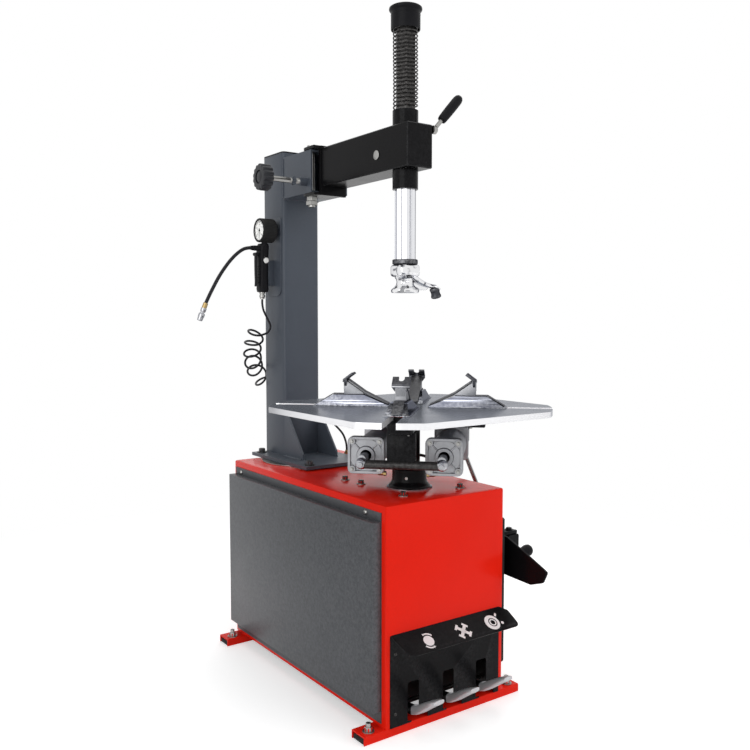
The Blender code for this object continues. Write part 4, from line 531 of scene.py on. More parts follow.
def makeInnerShade():
    # what lies inside the housing's walls, where next to no light comes
    group, given, out = newGroup("innerShade", {"Front": 0.0, "Wall": 0.0}, ("Mask",))
    axes = splitAxes(group, "TexCoord", "Object")
    beside = mathNode(group, "ABSOLUTE", mathNode(group, "SUBTRACT", axes["X"], home.x))
    mask = mathNode(group, "GREATER_THAN", axes["Y"], given["Front"])
    for value, limit in ((beside, given["Wall"]), (axes["Z"], home.z + cabinet["top"] - cabinet["skin"]),
                         (axes["Y"], home.y + cabinet["depth"] - cabinet["skin"])):
        mask = mathNode(group, "MULTIPLY", mask, mathNode(group, "LESS_THAN", value, limit))
    feed(group, {"Mask": mask}, out)
    return group


paintedReflectionBands = makeReflectionBands()
innerShade = makeInnerShade()
surfaceGrain = makeSurfaceGrain()
handlingMarks = makeHandling()
settledDust = makeDust()
edgeWearAndHighlight = makeEdgeWearAndHighlight()
turnedLines = makeTurnedLines()


# one entry for each finish: marks are smears and rubs, edge wear is how much of the colour under it edges show; on
# the slide covers that edge colour is a painted highlight instead
finishes = {
    "redEnamel": {"colour": (0.8, 0.016, 0.006), "roughness": 0.22, "gloss": 0.07, "grain": (900.0, 0.05),
        "marks": (0.1, 0.04), "wearAndHighlight": (0.12, (0.42, 0.02, 0.012)), "mottle": 0.02},
    "slateEnamel": {"colour": (0.064, 0.075, 0.094), "roughness": 0.36, "gloss": 0.22, "grain": (1500.0, 0.04),
        "marks": (0.14, 0.05), "wearAndHighlight": (0.3, (0.2, 0.21, 0.23)), "mottle": 0.05, "dust": 0.1},
    "coverEnamel": {"colour": (0.061, 0.064, 0.07), "roughness": 0.34, "gloss": 0.18, "grain": (1500.0, 0.03),
        "marks": (0.14, 0.05), "wearAndHighlight": (0.3, (0.24, 0.25, 0.27)), "mottle": 0.05, "dust": 0.02},
    "blackEnamel": {"colour": (0.005, 0.0048, 0.0054), "roughness": 0.24, "gloss": 0.06, "coat": 0.03,
        "grain": (1300.0, 0.06), "marks": (0.16, 0.07), "wearAndHighlight": (0.3, (0.08, 0.08, 0.085)), "mottle": 0.15,
        "dust": 0.012},
    "blackMoulding": {"colour": (0.007, 0.007, 0.0085), "roughness": 0.4, "gloss": 0.09,
        "grain": (1500.0, 0.2), "marks": (0.14, 0.06), "wearAndHighlight": (0.2, (0.06, 0.06, 0.065)), "mottle": 0.12,
        "dust": 0.06},
    "wheelMoulding": {"colour": (0.016, 0.017, 0.021), "roughness": 0.42, "gloss": 0.3,
        "grain": (1500.0, 0.16), "marks": (0.14, 0.06), "wearAndHighlight": (0.2, (0.06, 0.06, 0.065)), "mottle": 0.12,
        "dust": 0.04},
    # tool shaft: a brightened copy of the chrome, a painted reflection of the white around it
    "shaftChromeBrightened": {"colour": (0.8, 0.805, 0.83), "roughness": 0.1, "metal": 1.0,
        "edgeTint": (0.55, 0.56, 0.62), "grain": (700.0, 0.03), "marks": (0.1, 0.06), "mottle": 0.03},
    # slide covers: a darkened copy of the chrome as painted reflection, with a painted highlight on the edges and
    # light painted reflection bands
    "slideChromeDarkened": {"colour": (0.085, 0.09, 0.115), "roughness": 0.12, "metal": 1.0,
        "edgeTint": (0.22, 0.23, 0.27), "grain": (700.0, 0.03), "marks": (0.12, 0.08),
        "wearAndHighlight": (2.0, (0.8, 0.81, 0.84)), "mottle": 0.1, "paintedReflection": (5.0, 190.0, (0.52, 0.54, 0.62))},
    # mount head: a brightened copy of the chrome with dark painted reflection bands
    "headChromeBrightened": {"colour": (0.84, 0.845, 0.87), "roughness": 0.14, "metal": 1.0,
        "edgeTint": (0.5, 0.51, 0.55), "grain": (700.0, 0.05), "marks": (0.14, 0.08),
        "wearAndHighlight": (0.6, (0.85, 0.85, 0.87)), "mottle": 0.1, "paintedReflection": (38.0, 60.0, (0.07, 0.07, 0.09))},
    # cast pedals, with painted shade where they reach inside the guard
    "pedalAlloy": {"colour": (0.46, 0.465, 0.48), "roughness": 0.36, "metal": 0.55,
        "edgeTint": (0.6, 0.6, 0.62), "grain": (650.0, 0.22), "marks": (0.2, 0.12),
        "wearAndHighlight": (0.8, (0.8, 0.8, 0.82)), "mottle": 0.18, "shade": (-0.006, 0.5)},
    # the red enamel again, with painted shade over what lies inside the housing's walls
    "housingEnamel": {"colour": (0.8, 0.016, 0.006), "roughness": 0.22, "gloss": 0.07, "grain": (900.0, 0.04),
        "marks": (0.1, 0.04), "wearAndHighlight": (0.12, (0.42, 0.02, 0.012)), "mottle": 0.02,
        "shade": (home.y + cabinet["skin"], cabinet["halfWidth"] - 0.0006)},
    "blackRubber": {"colour": (0.016, 0.016, 0.016), "roughness": 0.7, "gloss": 0.15, "grain": (800.0, 0.25),
        "marks": (0.18, 0.05), "wearAndHighlight": (0.1, (0.05, 0.05, 0.05)), "mottle": 0.25, "dust": 0.15},
    "hoseSkin": {"colour": (0.01, 0.01, 0.013), "roughness": 0.3, "gloss": 0.22, "grain": (1400.0, 0.06),
        "marks": (0.12, 0.05), "mottle": 0.1, "dust": 0.1},
    "chromePlate": {"colour": (0.4, 0.405, 0.425), "roughness": 0.12, "metal": 1.0,
        "edgeTint": (0.55, 0.56, 0.6), "grain": (700.0, 0.03), "marks": (0.12, 0.06),
        "wearAndHighlight": (0.25, (0.5, 0.5, 0.5)), "mottle": 0.06, "dust": 0.05},
    "groundSteel": {"colour": (0.34, 0.345, 0.36), "roughness": 0.22, "metal": 1.0,
        "edgeTint": (0.5, 0.5, 0.52), "grain": (900.0, 0.06), "marks": (0.14, 0.1),
        "wearAndHighlight": (0.2, (0.45, 0.45, 0.46)), "mottle": 0.1, "dust": 0.05},
    "darkSteel": {"colour": (0.06, 0.062, 0.07), "roughness": 0.4, "metal": 1.0, "edgeTint": (0.3, 0.3, 0.33),
        "grain": (900.0, 0.12), "marks": (0.2, 0.1), "wearAndHighlight": (0.6, (0.48, 0.48, 0.49)), "mottle": 0.22,
        "dust": 0.08},
    "jawSteel": {"colour": (0.12, 0.121, 0.126), "roughness": 0.42, "metal": 1.0,
        "edgeTint": (0.35, 0.35, 0.37), "grain": (1000.0, 0.16), "marks": (0.22, 0.12),
        "wearAndHighlight": (0.7, (0.42, 0.42, 0.43)), "mottle": 0.25, "dust": 0.06},
    "castAlloy": {"colour": (0.3, 0.305, 0.32), "roughness": 0.44, "metal": 1.0, "edgeTint": (0.5, 0.5, 0.52),
        "grain": (650.0, 0.34), "marks": (0.2, 0.1), "wearAndHighlight": (0.45, (0.55, 0.55, 0.57)), "mottle": 0.22,
        "dust": 0.06},
    "zincPlate": {"colour": (0.36, 0.357, 0.345), "roughness": 0.3, "metal": 1.0, "edgeTint": (0.5, 0.5, 0.5),
        "grain": (1200.0, 0.06), "marks": (0.18, 0.08), "wearAndHighlight": (0.3, (0.42, 0.41, 0.39)), "mottle": 0.18,
        "dust": 0.1},
    "brassFitting": {"colour": (0.42, 0.3, 0.13), "roughness": 0.28, "metal": 1.0,
        "edgeTint": (0.5, 0.45, 0.35), "grain": (1200.0, 0.05), "marks": (0.18, 0.08),
        "wearAndHighlight": (0.3, (0.34, 0.25, 0.12)), "mottle": 0.15, "dust": 0.05},
    "blackedSteel": {"colour": (0.022, 0.021, 0.021), "roughness": 0.36, "metal": 0.6, "gloss": 0.2,
        "grain": (1100.0, 0.1), "marks": (0.18, 0.1), "wearAndHighlight": (0.55, (0.3, 0.29, 0.28)), "mottle": 0.22,
        "dust": 0.1},
    "dialCard": {"colour": (0.8, 0.8, 0.78), "roughness": 0.42, "coat": 0.3, "grain": (600.0, 0.02),
        "marks": (0.05, 0.02), "mottle": 0.03},
    "whitePrint": {"colour": (0.78, 0.78, 0.78), "roughness": 0.45, "grain": (1200.0, 0.06),
        "marks": (0.1, 0.04), "mottle": 0.06, "dust": 0.04},
}


def newMaterial(name):
    material = bpy.data.materials.new(name)
    material.use_nodes = True
    return material, material.node_tree, material.node_tree.nodes["Principled BSDF"].inputs


def placeGroup(tree, group, **values):
    node = tree.nodes.new("ShaderNodeGroup")
    node.node_tree = group
    feed(tree, values, node.inputs)
    return node


def mixColours(tree, mask, first, second):
    mix = tree.nodes.new("ShaderNodeMix")
    mix.data_type = "RGBA"
    first, second = ((*value, 1.0) if isinstance(value, tuple) else value for value in (first, second))
    feed(tree, {"Factor": mask, "A": first, "B": second}, mix.inputs)
    return mix.outputs["Result"]


layers = {"dust": (0.46, 0.43, 0.39), "shade": (0.006, 0.006, 0.007)}


def surfaceOf(name):
    # the common build of a finish: colour that varies, thinned edges, dust, marks and grain, and where a finish asks
    # for them painted reflection bands, a painted highlight on the slide covers' edges and painted shade inside the
    # housing
    finish = finishes[name]
    material, tree, shader = newMaterial(name)
    smears, rubs = finish["marks"]
    marks = placeGroup(tree, handlingMarks, Roughness=finish["roughness"], Smears=smears, Rubs=rubs).outputs
    scale, depth = finish["grain"]
    grain = placeGroup(tree, surfaceGrain, Scale=scale, Depth=depth)
    dark = tuple(channel * (1 - 2 * finish["mottle"]) for channel in finish["colour"])
    light = tuple(min(1.0, channel * (1 + 2 * finish["mottle"])) for channel in finish["colour"])
    colour = mixColours(tree, marks["Mask"], dark, light)

    def cover(group, colour, over, **values):
        return mixColours(tree, placeGroup(tree, group, **values).outputs["Mask"], colour, over)

    # edge wear, and on the slide covers a painted highlight along the edges
    if "wearAndHighlight" in finish:
        amount, edgeColour = finish["wearAndHighlight"]
        colour = cover(edgeWearAndHighlight, colour, edgeColour, Amount=amount)
    if "dust" in finish:
        colour = cover(settledDust, colour, layers["dust"], Amount=finish["dust"])
    # painted reflection: bands of another colour over the chrome, light on the slide covers and dark on the mount
    # head
    if "paintedReflection" in finish:
        across, rise, reflectionColour = finish["paintedReflection"]
        colour = cover(paintedReflectionBands, colour, reflectionColour, Across=across, Rise=rise)
    # painted shade: near-black colour over what lies inside the housing's walls
    if "shade" in finish:
        front, wall = finish["shade"]
        colour = cover(innerShade, colour, layers["shade"], Front=front, Wall=wall)
    feed(tree, {
        "Metallic": finish.get("metal", 0), "Coat Weight": finish.get("coat", 0), "Coat Roughness": 0.08,
        "Specular IOR Level": finish.get("gloss", 0.5), "Specular Tint": (*finish.get("edgeTint", (1, 1, 1)), 1),
        "Base Color": colour, "Roughness": marks["Roughness"], "Normal": grain.outputs["Normal"],
    }, shader)
    return material


surfaces = {name: surfaceOf(name) for name in finishes}


tableTop = {"colour": (0.27, 0.29, 0.33), "rubbed": (0.4, 0.42, 0.46), "bright": (0.92, 0.92, 0.94),
            "roughness": 0.2, "metal": 0.6, "gloss": 0.1, "edgeTint": (0.22, 0.23, 0.27)}


def makeTableSteel():
    # ground steel: rings from the grinder, bright rubs where rims have turned, and every face that does not face up
    # or down made near white
    material, tree, shader = newMaterial("tableSteel")
    rings = placeGroup(tree, turnedLines, Spacing=700.0)
    feed(tree, {"Centre X": home.x, "Centre Y": home.y + tableCentre.y}, rings.inputs)
    rings = rings.outputs["Mask"]
    marks = placeGroup(tree, handlingMarks, Roughness=tableTop["roughness"], Smears=0.22, Rubs=0.12)
    speckle = raised(tree, noiseNode(tree, objectPoint(tree), 420.0, 5.0, 0.75), 0.52, 5.0)
    blend = mathNode(tree, "MULTIPLY", mathNode(tree, "ADD", rings, speckle), 0.55, clamp=True)
    top = mixColours(tree, blend, tableTop["colour"], tableTop["rubbed"])
    upright = mathNode(tree, "ABSOLUTE", splitAxes(tree, "NewGeometry", "Normal")["Z"])
    edge = mathNode(tree, "MULTIPLY", mathNode(tree, "SUBTRACT", 1.0, upright), 1.4, clamp=True)
    feed(tree, {
        "Metallic": tableTop["metal"], "Specular IOR Level": tableTop["gloss"],
        "Specular Tint": (*tableTop["edgeTint"], 1), "Roughness": marks.outputs["Roughness"],
        "Base Color": mixColours(tree, edge, top, tableTop["bright"]), "Normal": bumpNode(tree, rings, 0.1, 0.0003),
    }, shader)
    return material


surfaces["tableSteel"] = makeTableSteel()
print("materials made:", len(surfaces))


# the two loose hoses of the inflator
curlyHose = {"radius": 0.0034, "curlRadius": 0.0265, "turns": 11, "pointsATurn": 16, "closeTurns": 4,
             "closePitch": 0.033, "tilt": math.radians(28)}
curlyLead = ((-0.106, 0.78, 1.0777), (-0.106, 0.78, 1.062), (-0.102, 0.779, 1.042), (-0.0915, 0.7755, 1.018))
curlyAxis = (
    (-0.113, 0.801, 0.98), (-0.121, 0.8075, 0.952), (-0.126, 0.812, 0.92), (-0.118, 0.824, 0.882),
    (-0.092, 0.856, 0.848), (-0.05, 0.884, 0.812), (0, 0.886, 0.775), (0.052, 0.886, 0.738),
    (0.098, 0.872, 0.708), (0.118, 0.826, 0.694), (0.117, 0.78, 0.689), (0.116, 0.74, 0.682),
    (0.122, 0.71, 0.668),
)
curlyTail = ((0.137, 0.693, 0.643), (0.148, 0.689, 0.616), (0.1525, 0.6895, 0.592), (0.153, 0.69, 0.5703))
shortHose = {"radius": 0.0055}
shortHosePoints = (
    (-0.1383, 0.77, 1.236), (-0.152, 0.77, 1.236), (-0.174, 0.77, 1.231), (-0.198, 0.77, 1.215),
    (-0.225, 0.77, 1.188), (-0.255, 0.77, 1.148), (-0.282, 0.77, 1.102), (-0.302, 0.77, 1.063),
    (-0.308, 0.77, 1.048),
)


def curlyRoute():
    # close curls that tilt towards the front, then drawn out behind the column
    axis = smoothRoute(curlyAxis, 0.002)
    turns = curlyHose["turns"]
    close = curlyHose["closeTurns"]
    pitch = curlyHose["closePitch"]
    length = routeLength(axis)
    openPitch = (length - close * pitch) / (turns - close)
    across = Vector((1, 0, 0))
    curls = []
    for step in range(turns * curlyHose["pointsATurn"] + 1):
        turned = step / curlyHose["pointsATurn"]
        run = min(turned, close) * pitch + max(0, turned - close) * openPitch
        i = min(round(run / length * (len(axis) - 1)), len(axis) - 2)
        way = (axis[i + 1] - axis[i]).normalized()
        across = (across - way * across.dot(way)).normalized()
        beside = way.cross(across)
        grow = min(1.0, (turns - turned) / 2)
        angle = 2 * math.pi * (turned + 0.25)
        offset = curlyHose["curlRadius"] * grow * (across * math.cos(angle) + beside * math.sin(angle))
        fade = max(0, min(1.0, close + 1 - turned))
        offset.rotate(Matrix.Rotation(curlyHose["tilt"] * fade, 3, Vector((0.81, -0.58, 0))))
        curls.append(axis[i] + offset)
    # the lead swings into the first curl on an arc of the curls' own radius
    ahead = (curls[1] - curls[0]).normalized()
    level = Vector((ahead.x, ahead.y, 0)).normalized()
    bend = curlyHose["curlRadius"] * 1.15
    start = curls[0] + Vector((0, 0, bend))
    arc = []
    for degrees in (5, 45):
        swing = math.radians(degrees)
        arc.append(start - bend * (level * math.cos(swing) + Vector((0, 0, math.sin(swing)))))
    return smoothRoute([*curlyLead, *arc, *curls[:-2], *curlyTail], 0.0035)


def hoseCurve(name, route, radius, node):
    curve = strand(name, route, radius, 4)
    curve.splines[0].use_smooth = True
    obj = bpy.data.objects.new(name, curve)
    scene.collection.objects.link(obj)
    curve.materials.append(surfaces["hoseSkin"])
    obj.location = home
    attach(obj, "frame")
    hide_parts(node)
    return obj


def makeHoses():
    route = curlyRoute()
    hose = hoseCurve("curlyHose", route, curlyHose["radius"], "coil_hose")
    print(f"curly hose {routeLength(route):.3f} m")
    points = [Vector(point) for point in shortHosePoints]
    route = smoothRoute(points, 0.003)
    hose = hoseCurve("inflatorHose", route, shortHose["radius"], "whip_hose")
    way = (points[-1] - points[-2]).normalized()
    lean = at(points[-1]) @ Vector((0, 0, -1)).rotation_difference(way).to_matrix().to_4x4()
    profile = [(0, 0), (0.0062, 0), (0.0085, -0.0008), (0.0085, -0.01), (0.0074, -0.0118), (0.006, -0.0124),
               (0.006, -0.0165), (0.0088, -0.0175), (0.0095, -0.02), (0.0095, -0.027), (0.0086, -0.029),
               (0.0086, -0.033), (0.0078, -0.0396), (0.004, -0.0396), (0.0036, -0.032), (0, -0.032)]
    chuck = addPiece("inflatorChuck", "frame", "chromePlate", [lathe(profile, lean)],
                     stands=["whip_chuck"], slot="chrome")
    ferrule = tube([points[-1] - way * 0.016, points[-1] + way * 0.004], 0.0074)
    collar = addPiece("hoseFerrule", "frame", "brassFitting", [ferrule], bevel=0.0005, slot="chrome")
    start = points[0]
    guard = rod(start + Vector((0.003, 0, 0)), start - Vector((0.012, 0, 0)), 0.0085, 0.0066)
    addPiece("hoseSleeve", "frame", "blackMoulding", [guard], bevel=0.0006)
    print(f"inflator hose {routeLength(route):.3f} m")
    x, y, z = curlyTail[-1]
    nut = rod((x, y, z), (x, y, z + 0.008), 0.0085, sides=6)
    barb = rod((x, y, z + 0.008), (x, y, z + 0.016), 0.0058, 0.005)
    addPiece("hoseFitting", "frame", "brassFitting", [nut, barb], bevel=0.0005, slot="chrome")


makeHoses()


# bolts and screws
def hexBolt(place, flats, height, washer, up=(0, 0, 1), washerThickness=0.0022, stud=None):
    # a chamfered hexagon head on a round washer
    place = Vector(place)
    up = Vector(up)
    washerTop = place + up * washerThickness
    shapes = [rod(place - up * 0.0005, washerTop, washer, sides=48)]
    radius = flats / math.sqrt(3)
    chamfer = 0.12 * flats
    shapes.append(rod(washerTop, washerTop + up * (height - chamfer), radius, sides=6))
    shapes.append(rod(washerTop + up * (height - chamfer), washerTop + up * height, radius, radius * 0.86, 6))
    if stud:
        shapes.append(rod(washerTop + up * height, washerTop + up * (height + stud[1]), stud[0]))
    return shapes


bolts = {
    "top": ((-0.091, 0.33), (-0.087, 0.2585), (-0.0875, 0.071), (0.096, 0.064)),
    "base": ((-0.088, 0.525), (0.088, 0.525), (-0.088, 0.825), (0.088, 0.825)),
    "anchor": ((-0.23, 0.0208), (0.23, 0.0208), (-0.23, 0.7637), (0.23, 0.7637)),
    "cover": ((0.7595, 0.538), (0.081, 0.542), (0.711, 0.054), (0.064, 0.051)),
    "coverFace": -0.1954, "basePlate": 0.5838, "footTop": 0.0222,
}


def makeBolts():
    for number, (x, y) in enumerate(bolts["top"]):
        place = (x, y, cabinet["top"] + 0.0004)
        washer = [rod(place, (x, y, cabinet["top"] + 0.0028), 0.0122, sides=48)]
        addPiece(f"topWasher{number}", "frame", "zincPlate", washer, bevel=0.0005, slot="zinc")
        head = hexBolt((x, y, cabinet["top"] + 0.0022), 0.0138, 0.0088, 0.0085, washerThickness=0.0012)
        addPiece(f"topBolt{number}", "frame", "blackedSteel", head, bevel=0.0004)
    for number, (x, y) in enumerate(bolts["base"]):
        head = hexBolt((x, y, bolts["basePlate"]), 0.0178, 0.0108, 0.0158)
        addPiece(f"baseBolt{number}", "frame", "blackedSteel", head, bevel=0.0004)
    for number, (x, y) in enumerate(bolts["anchor"]):
        head = hexBolt((x, y, bolts["footTop"]), 0.0178, 0.0098, 0.0148, stud=(0.0064, 0.0095))
        addPiece(f"anchorBolt{number}", "frame", "zincPlate", head, bevel=0.0004, slot="zinc")
    for number, (y, z) in enumerate(bolts["cover"]):
        dome = [(0, 0.0046), (0.003, 0.0044), (0.0052, 0.0034), (0.0066, 0.0012), (0.0068, 0), (0, 0)]
        cross = [box((-0.0034, -0.0007, 0.0026), (0.0034, 0.0007, 0.006)),
                 box((-0.0007, -0.0034, 0.0026), (0.0007, 0.0034, 0.006))]
        addPiece(f"coverScrew{number}", "frame", "zincPlate", [lathe(dome, steps=40)], cross, slot="zinc",
                 place=at((bolts["coverFace"], y, z), "Y", -90))


makeBolts()
print("bolts and screws placed")


# the sheet housing, its cover and its feet
def dressHousing():
    for dressing in (
        ("cabinet_shell", "housingEnamel"), ("side_cover", "coverEnamel"), ("front_foot", "redEnamel", 0.0008),
        ("rear_foot", "redEnamel", 0.0008), ("rubber_buffer", "blackRubber"),
    ):
        dressNode(*dressing)
    # dark rubber strips in the open ends of the feet
    for label, start in (("front", 0), ("rear", 0.745)):
        strips = []
        for side in (-1, 1):
            near = side * 0.206
            far = side * 0.2545
            strips.append(box((min(near, far), start + 0.0055, 0.0008), (max(near, far), start + 0.0495, 0.012),
                              0.002))
        addPiece(f"{label}FootPads", "frame", "blackRubber", strips, slot="black_rubber")


dressHousing()


guard = {"high": 0.253, "forward": 0.057, "drop": 0.038, "sheet": 0.002, "face": -0.0024,
         "screws": ((-0.166, 0.205), (-0.166, 0.055), (0.163, 0.19))}


def visorMatrix(x, down, proud=0.00035):
    # on the visor's upper face, this far down its slope
    length = math.hypot(guard["forward"], guard["drop"])
    way = Vector((0, -guard["forward"], -guard["drop"])) / length
    up = Vector((0, -guard["drop"], guard["forward"])) / length
    matrix = Matrix((Vector((1, 0, 0)), -way, up)).transposed().to_4x4()
    root = Vector((0, -0.0013, guard["high"] - 0.001))
    place = root + Vector((x, 0, 0)) + way * down + up * (guard["sheet"] / 2 + proud)
    return at(place) @ matrix @ Matrix.Diagonal((signs["size"], signs["size"], 1, 1))


def arcBand(radius, width, start, end, steps=16):
    outline = []
    for edge, first, last in ((radius + width / 2, start, end), (radius - width / 2, end, start)):
        for step in range(steps + 1):
            angle = math.radians(first + (last - first) * step / steps)
            outline.append((edge * math.cos(angle), edge * math.sin(angle)))
    return outline


def circle(radius, x=0.0, y=0.0, steps=40):
    return [(x + radius * math.cos(2 * math.pi * i / steps), y + radius * math.sin(2 * math.pi * i / steps))
            for i in range(steps)]


signs = {"thickness": 0.0003, "places": (-0.088, 0.024, 0.126), "down": 0.039, "size": 1.38}


def makeSigns():
    thick = signs["thickness"]
    left, middle, right = signs["places"]
    down = signs["down"]
    # a round table with the two marks of its turning
    matrix = visorMatrix(left, down)
    shapes = [plate([circle(0.0105)], thick, matrix)]
    for start in (35, 215):
        shapes.append(plate([arcBand(0.0145, 0.0028, start, start + 72)], thick, matrix))
        tip = math.radians(start + 72)
        head = [(0.0145 * math.cos(tip) + a, 0.0145 * math.sin(tip) + b) for a, b in circle(0.003, steps=3)]
        shapes.append(plate([head], thick, matrix))
    addPiece("signTurn", "frame", "whitePrint", shapes)
    # four jaws about a wheel
    matrix = visorMatrix(middle, down) @ spun("Z", 45)
    shapes = [plate([circle(0.0055)], thick, matrix)]
    for quarter in range(4):
        turn = matrix @ spun("Z", 90 * quarter)
        arm = [(0.003, -0.003), (0.012, -0.003), (0.012, -0.0062), (0.0165, -0.0062), (0.0165, 0.0062),
               (0.012, 0.0062), (0.012, 0.003), (0.003, 0.003)]
        shapes.append(plate([arm], thick, turn))
    addPiece("signClamp", "frame", "whitePrint", shapes)
    # a tyre seen from its side, with the shovel beside it
    matrix = visorMatrix(right, down)
    shapes = [
        plate([circle(0.016, -0.002), circle(0.0095, -0.0005)], thick, matrix),
        plate([circle(0.0074, -0.0005), circle(0.005, -0.0005)], thick, matrix),
        plate([circle(0.003, 0.0195, -0.006)], thick, matrix),
        plate([rounded([(0.012, 0.0125), (0.015, 0.0095), (0.0195, 0.015), (0.0165, 0.018)], 0.001)], thick,
              matrix),
    ]
    addPiece("signBreak", "frame", "whitePrint", shapes)


def dressGuard():
    dressNode("pedal_guard", "blackEnamel", 0.0003)
    makeSigns()
    for number, (x, z) in enumerate(guard["screws"]):
        dome = [(0, 0.0022), (0.002, 0.0021), (0.0038, 0.0012), (0.0042, 0), (0, 0)]
        addPiece(f"guardScrew{number}", "frame", "blackedSteel", [lathe(dome, steps=32)],
                 [rod((0, 0, 0.0008), (0, 0, 0.004), 0.0014, sides=6)], place=at((x, guard["face"], z), "X", 90))


dressGuard()
print("housing dressed")


# column, hinge bracket and lock screw
weld = {"radius": 0.0026, "across": 0.0645, "wall": 0.7143, "foot": 0.0655, "low": 1.3865, "plate": 0.5845}


def dressColumn():
    for dressing in (
        ("column", "slateEnamel", 0.0006), ("column_spacer", "zincPlate", 0.0005),
        ("column_cap", "blackMoulding", 0.0008), ("hinge_bracket", "slateEnamel", 0.0008),
    ):
        dressNode(*dressing)
    # weld beads where the bracket and the gussets meet the column
    x, wall, foot, low = (weld[key] for key in ("across", "wall", "foot", "low"))
    routes = [[(-0.062, wall, low), (0, wall, low), (0.062, wall, low)]]
    for side in (1, -1):
        routes.insert(0, [(side * foot, y, weld["plate"]) for y in (0.612, 0.66, 0.712)])
        routes.insert(0, [(side * x, wall, z) for z in (1.391, 1.45, 1.508)])
    beads = []
    for points in routes:
        route = smoothRoute(points, 0.0035)
        radii = [weld["radius"] * (1 + 0.22 * math.sin(2.3 * i) + 0.1 * math.sin(5.1 * i)) for i in range(len(route))]
        beads.append(tube(route, weld["radius"], sides=8, radii=radii))
    addPiece("columnWelds", "frame", "slateEnamel", beads, sharp=60, slot="grey_paint")


dressColumn()


pin = {"x": -0.045, "y": 0.576}
screwHeight = 1.42


def makePin():
    x = pin["x"]
    y = pin["y"]
    head = [(0, 1.5282), (0.0078, 1.5282), (0.012, 1.5268), (0.0137, 1.5245), (0.0137, 1.5216), (0, 1.5216)]
    shapes = [lathe(head, at((x, y, 0)), 48)]
    addPiece("pinHead", "frame", "chromePlate", shapes, slot="chrome")
    dressNode("hinge_pin", "zincPlate", 0.0004)


def threadProfile(start, end, radius, pitch, depth):
    profile = []
    count = int(abs(end - start) / pitch)
    for i in range(count):
        z = start - i * pitch
        profile += [(radius, z), (radius - depth, z - pitch / 2)]
    return profile


def makeLockScrew():
    y = pin["y"]
    axis = at((0, y, screwHeight), "Y", 90)
    # local Z runs along X: the shank from the bracket's boss to the wheel
    profile = [(0, -0.0556), (0.0062, -0.0556), (0.0079, -0.0572)]
    profile += threadProfile(-0.06, -0.122, 0.0079, 0.0018, 0.0007)
    profile += [(0.0079, -0.1225), (0.0079, -0.2155), (0, -0.2155)]
    nut = rod((-0.1045, y, screwHeight), (-0.112, y, screwHeight), 0.0139, sides=6)
    collar = rod((-0.112, y, screwHeight), (-0.115, y, screwHeight), 0.0112)
    addPiece("lockScrew", "lock_screw", "zincPlate", [lathe(profile, axis, 48)], bevel=0.0003,
             stands=["lock_screw"], slot="chrome")
    addPiece("lockNut", "lock_screw", "slateEnamel", [nut, collar], bevel=0.0006, slot="chrome")


wheel = {"radius": 0.038, "lobes": 14, "depth": 0.003, "inner": -0.19, "outer": -0.222, "points": 196}


def makeHandWheel():
    outline = []
    for step in range(wheel["points"]):
        angle = 2 * math.pi * step / wheel["points"]
        wave = math.cos(wheel["lobes"] * angle)
        radius = wheel["radius"] - wheel["depth"] * (0.5 - 0.5 * wave) ** 1.6
        outline.append((radius * math.cos(angle), radius * math.sin(angle)))

    def addPart(name, shapes, cuts=(), **options):
        addPiece(name, "hand_wheel", "wheelMoulding", shapes, cuts, slot="black_plastic", **options)

    def facing(x, degrees):
        return at((x, pin["y"], screwHeight), "Y", degrees)

    inner, outer = wheel["inner"], wheel["outer"]
    rim = plate([outline], inner - outer, facing((inner + outer) / 2, 90), 0.0045)
    hub = [(0, 0.01), (0.0135, 0.01), (0.0165, 0.007), (0.0175, -0.001), (0, -0.001)]
    dish = [(0, 0.012), (0.021, 0.012), (0.019, -0.004), (0, -0.004)]
    cap = [(0, 0.0015), (0.012, 0.0012), (0.0165, -0.0008), (0.018, -0.0034), (0, -0.0034)]
    addPart("handWheel", [rim], [lathe(dish, facing(outer, -90), 48)], sharp=30, stands=["hand_wheel"])
    addPart("handWheelHub", [lathe(hub, facing(inner, 90), 48)])
    addPart("handWheelCap", [lathe(cap, facing(outer + 0.002, -90), 48)])


makePin()
makeLockScrew()
makeHandWheel()
print("column and lock screw dressed")


# swing arm, tool shaft and spring
shaft = {"y": 0.179, "flats": 0.048, "springLow": 1.5563, "springHigh": 1.8017, "capTop": 1.827}


def dressArm():
    dressNode("swing_arm", "blackEnamel", 0.0009)
    dressNode("upper_guide", "blackEnamel", 0.0012)
    dressNode("lower_guide", "blackEnamel", 0.0012)
    y = shaft["y"]
    radius = shaft["flats"] / math.sqrt(3)
    bright = rod((0, y, 1.1606), (0, y, shaft["springLow"]), radius, sides=6, twist=math.radians(30))
    addPiece("toolShaft", "tool", "shaftChromeBrightened", [bright], bevel=0.002, stands=["tool_shaft"], slot="chrome")
    # darker chrome strips on the six corners, modelled as chamfers and also painted shade that outlines the bright
    # shaft
    corners = []
    for corner in range(6):
        angle = math.radians(60 * corner + 30)
        x = (radius - 0.0006) * math.cos(angle)
        across = y + (radius - 0.0006) * math.sin(angle)
        corners.append(rod((x, across, 1.1612), (x, across, shaft["springLow"] - 0.0005), 0.0011, sides=10))
    addPiece("toolShaftCorners", "tool", "chromePlate", corners, slot="chrome")
    dark = rod((0, y, shaft["springLow"]), (0, y, 1.8), radius, sides=6, twist=math.radians(30))
    addPiece("shaftInSpring", "tool", "blackedSteel", [dark], bevel=0.0012, slot="chrome")
    plug = [(0, 0.0022), (0.0098, 0.002), (0.0122, 0.0008), (0.0124, 0), (0, 0)]
    turn = at((-0.0436, 0.249, 1.449), "Y", -90)
    addPiece("armPlug", "swing_arm", "zincPlate", [lathe(plug, turn, 48)], slot="chrome")


spring = {"turns": 24, "wire": 0.002, "radius": 0.0312, "pointsATurn": 28, "wave": 0.0005}


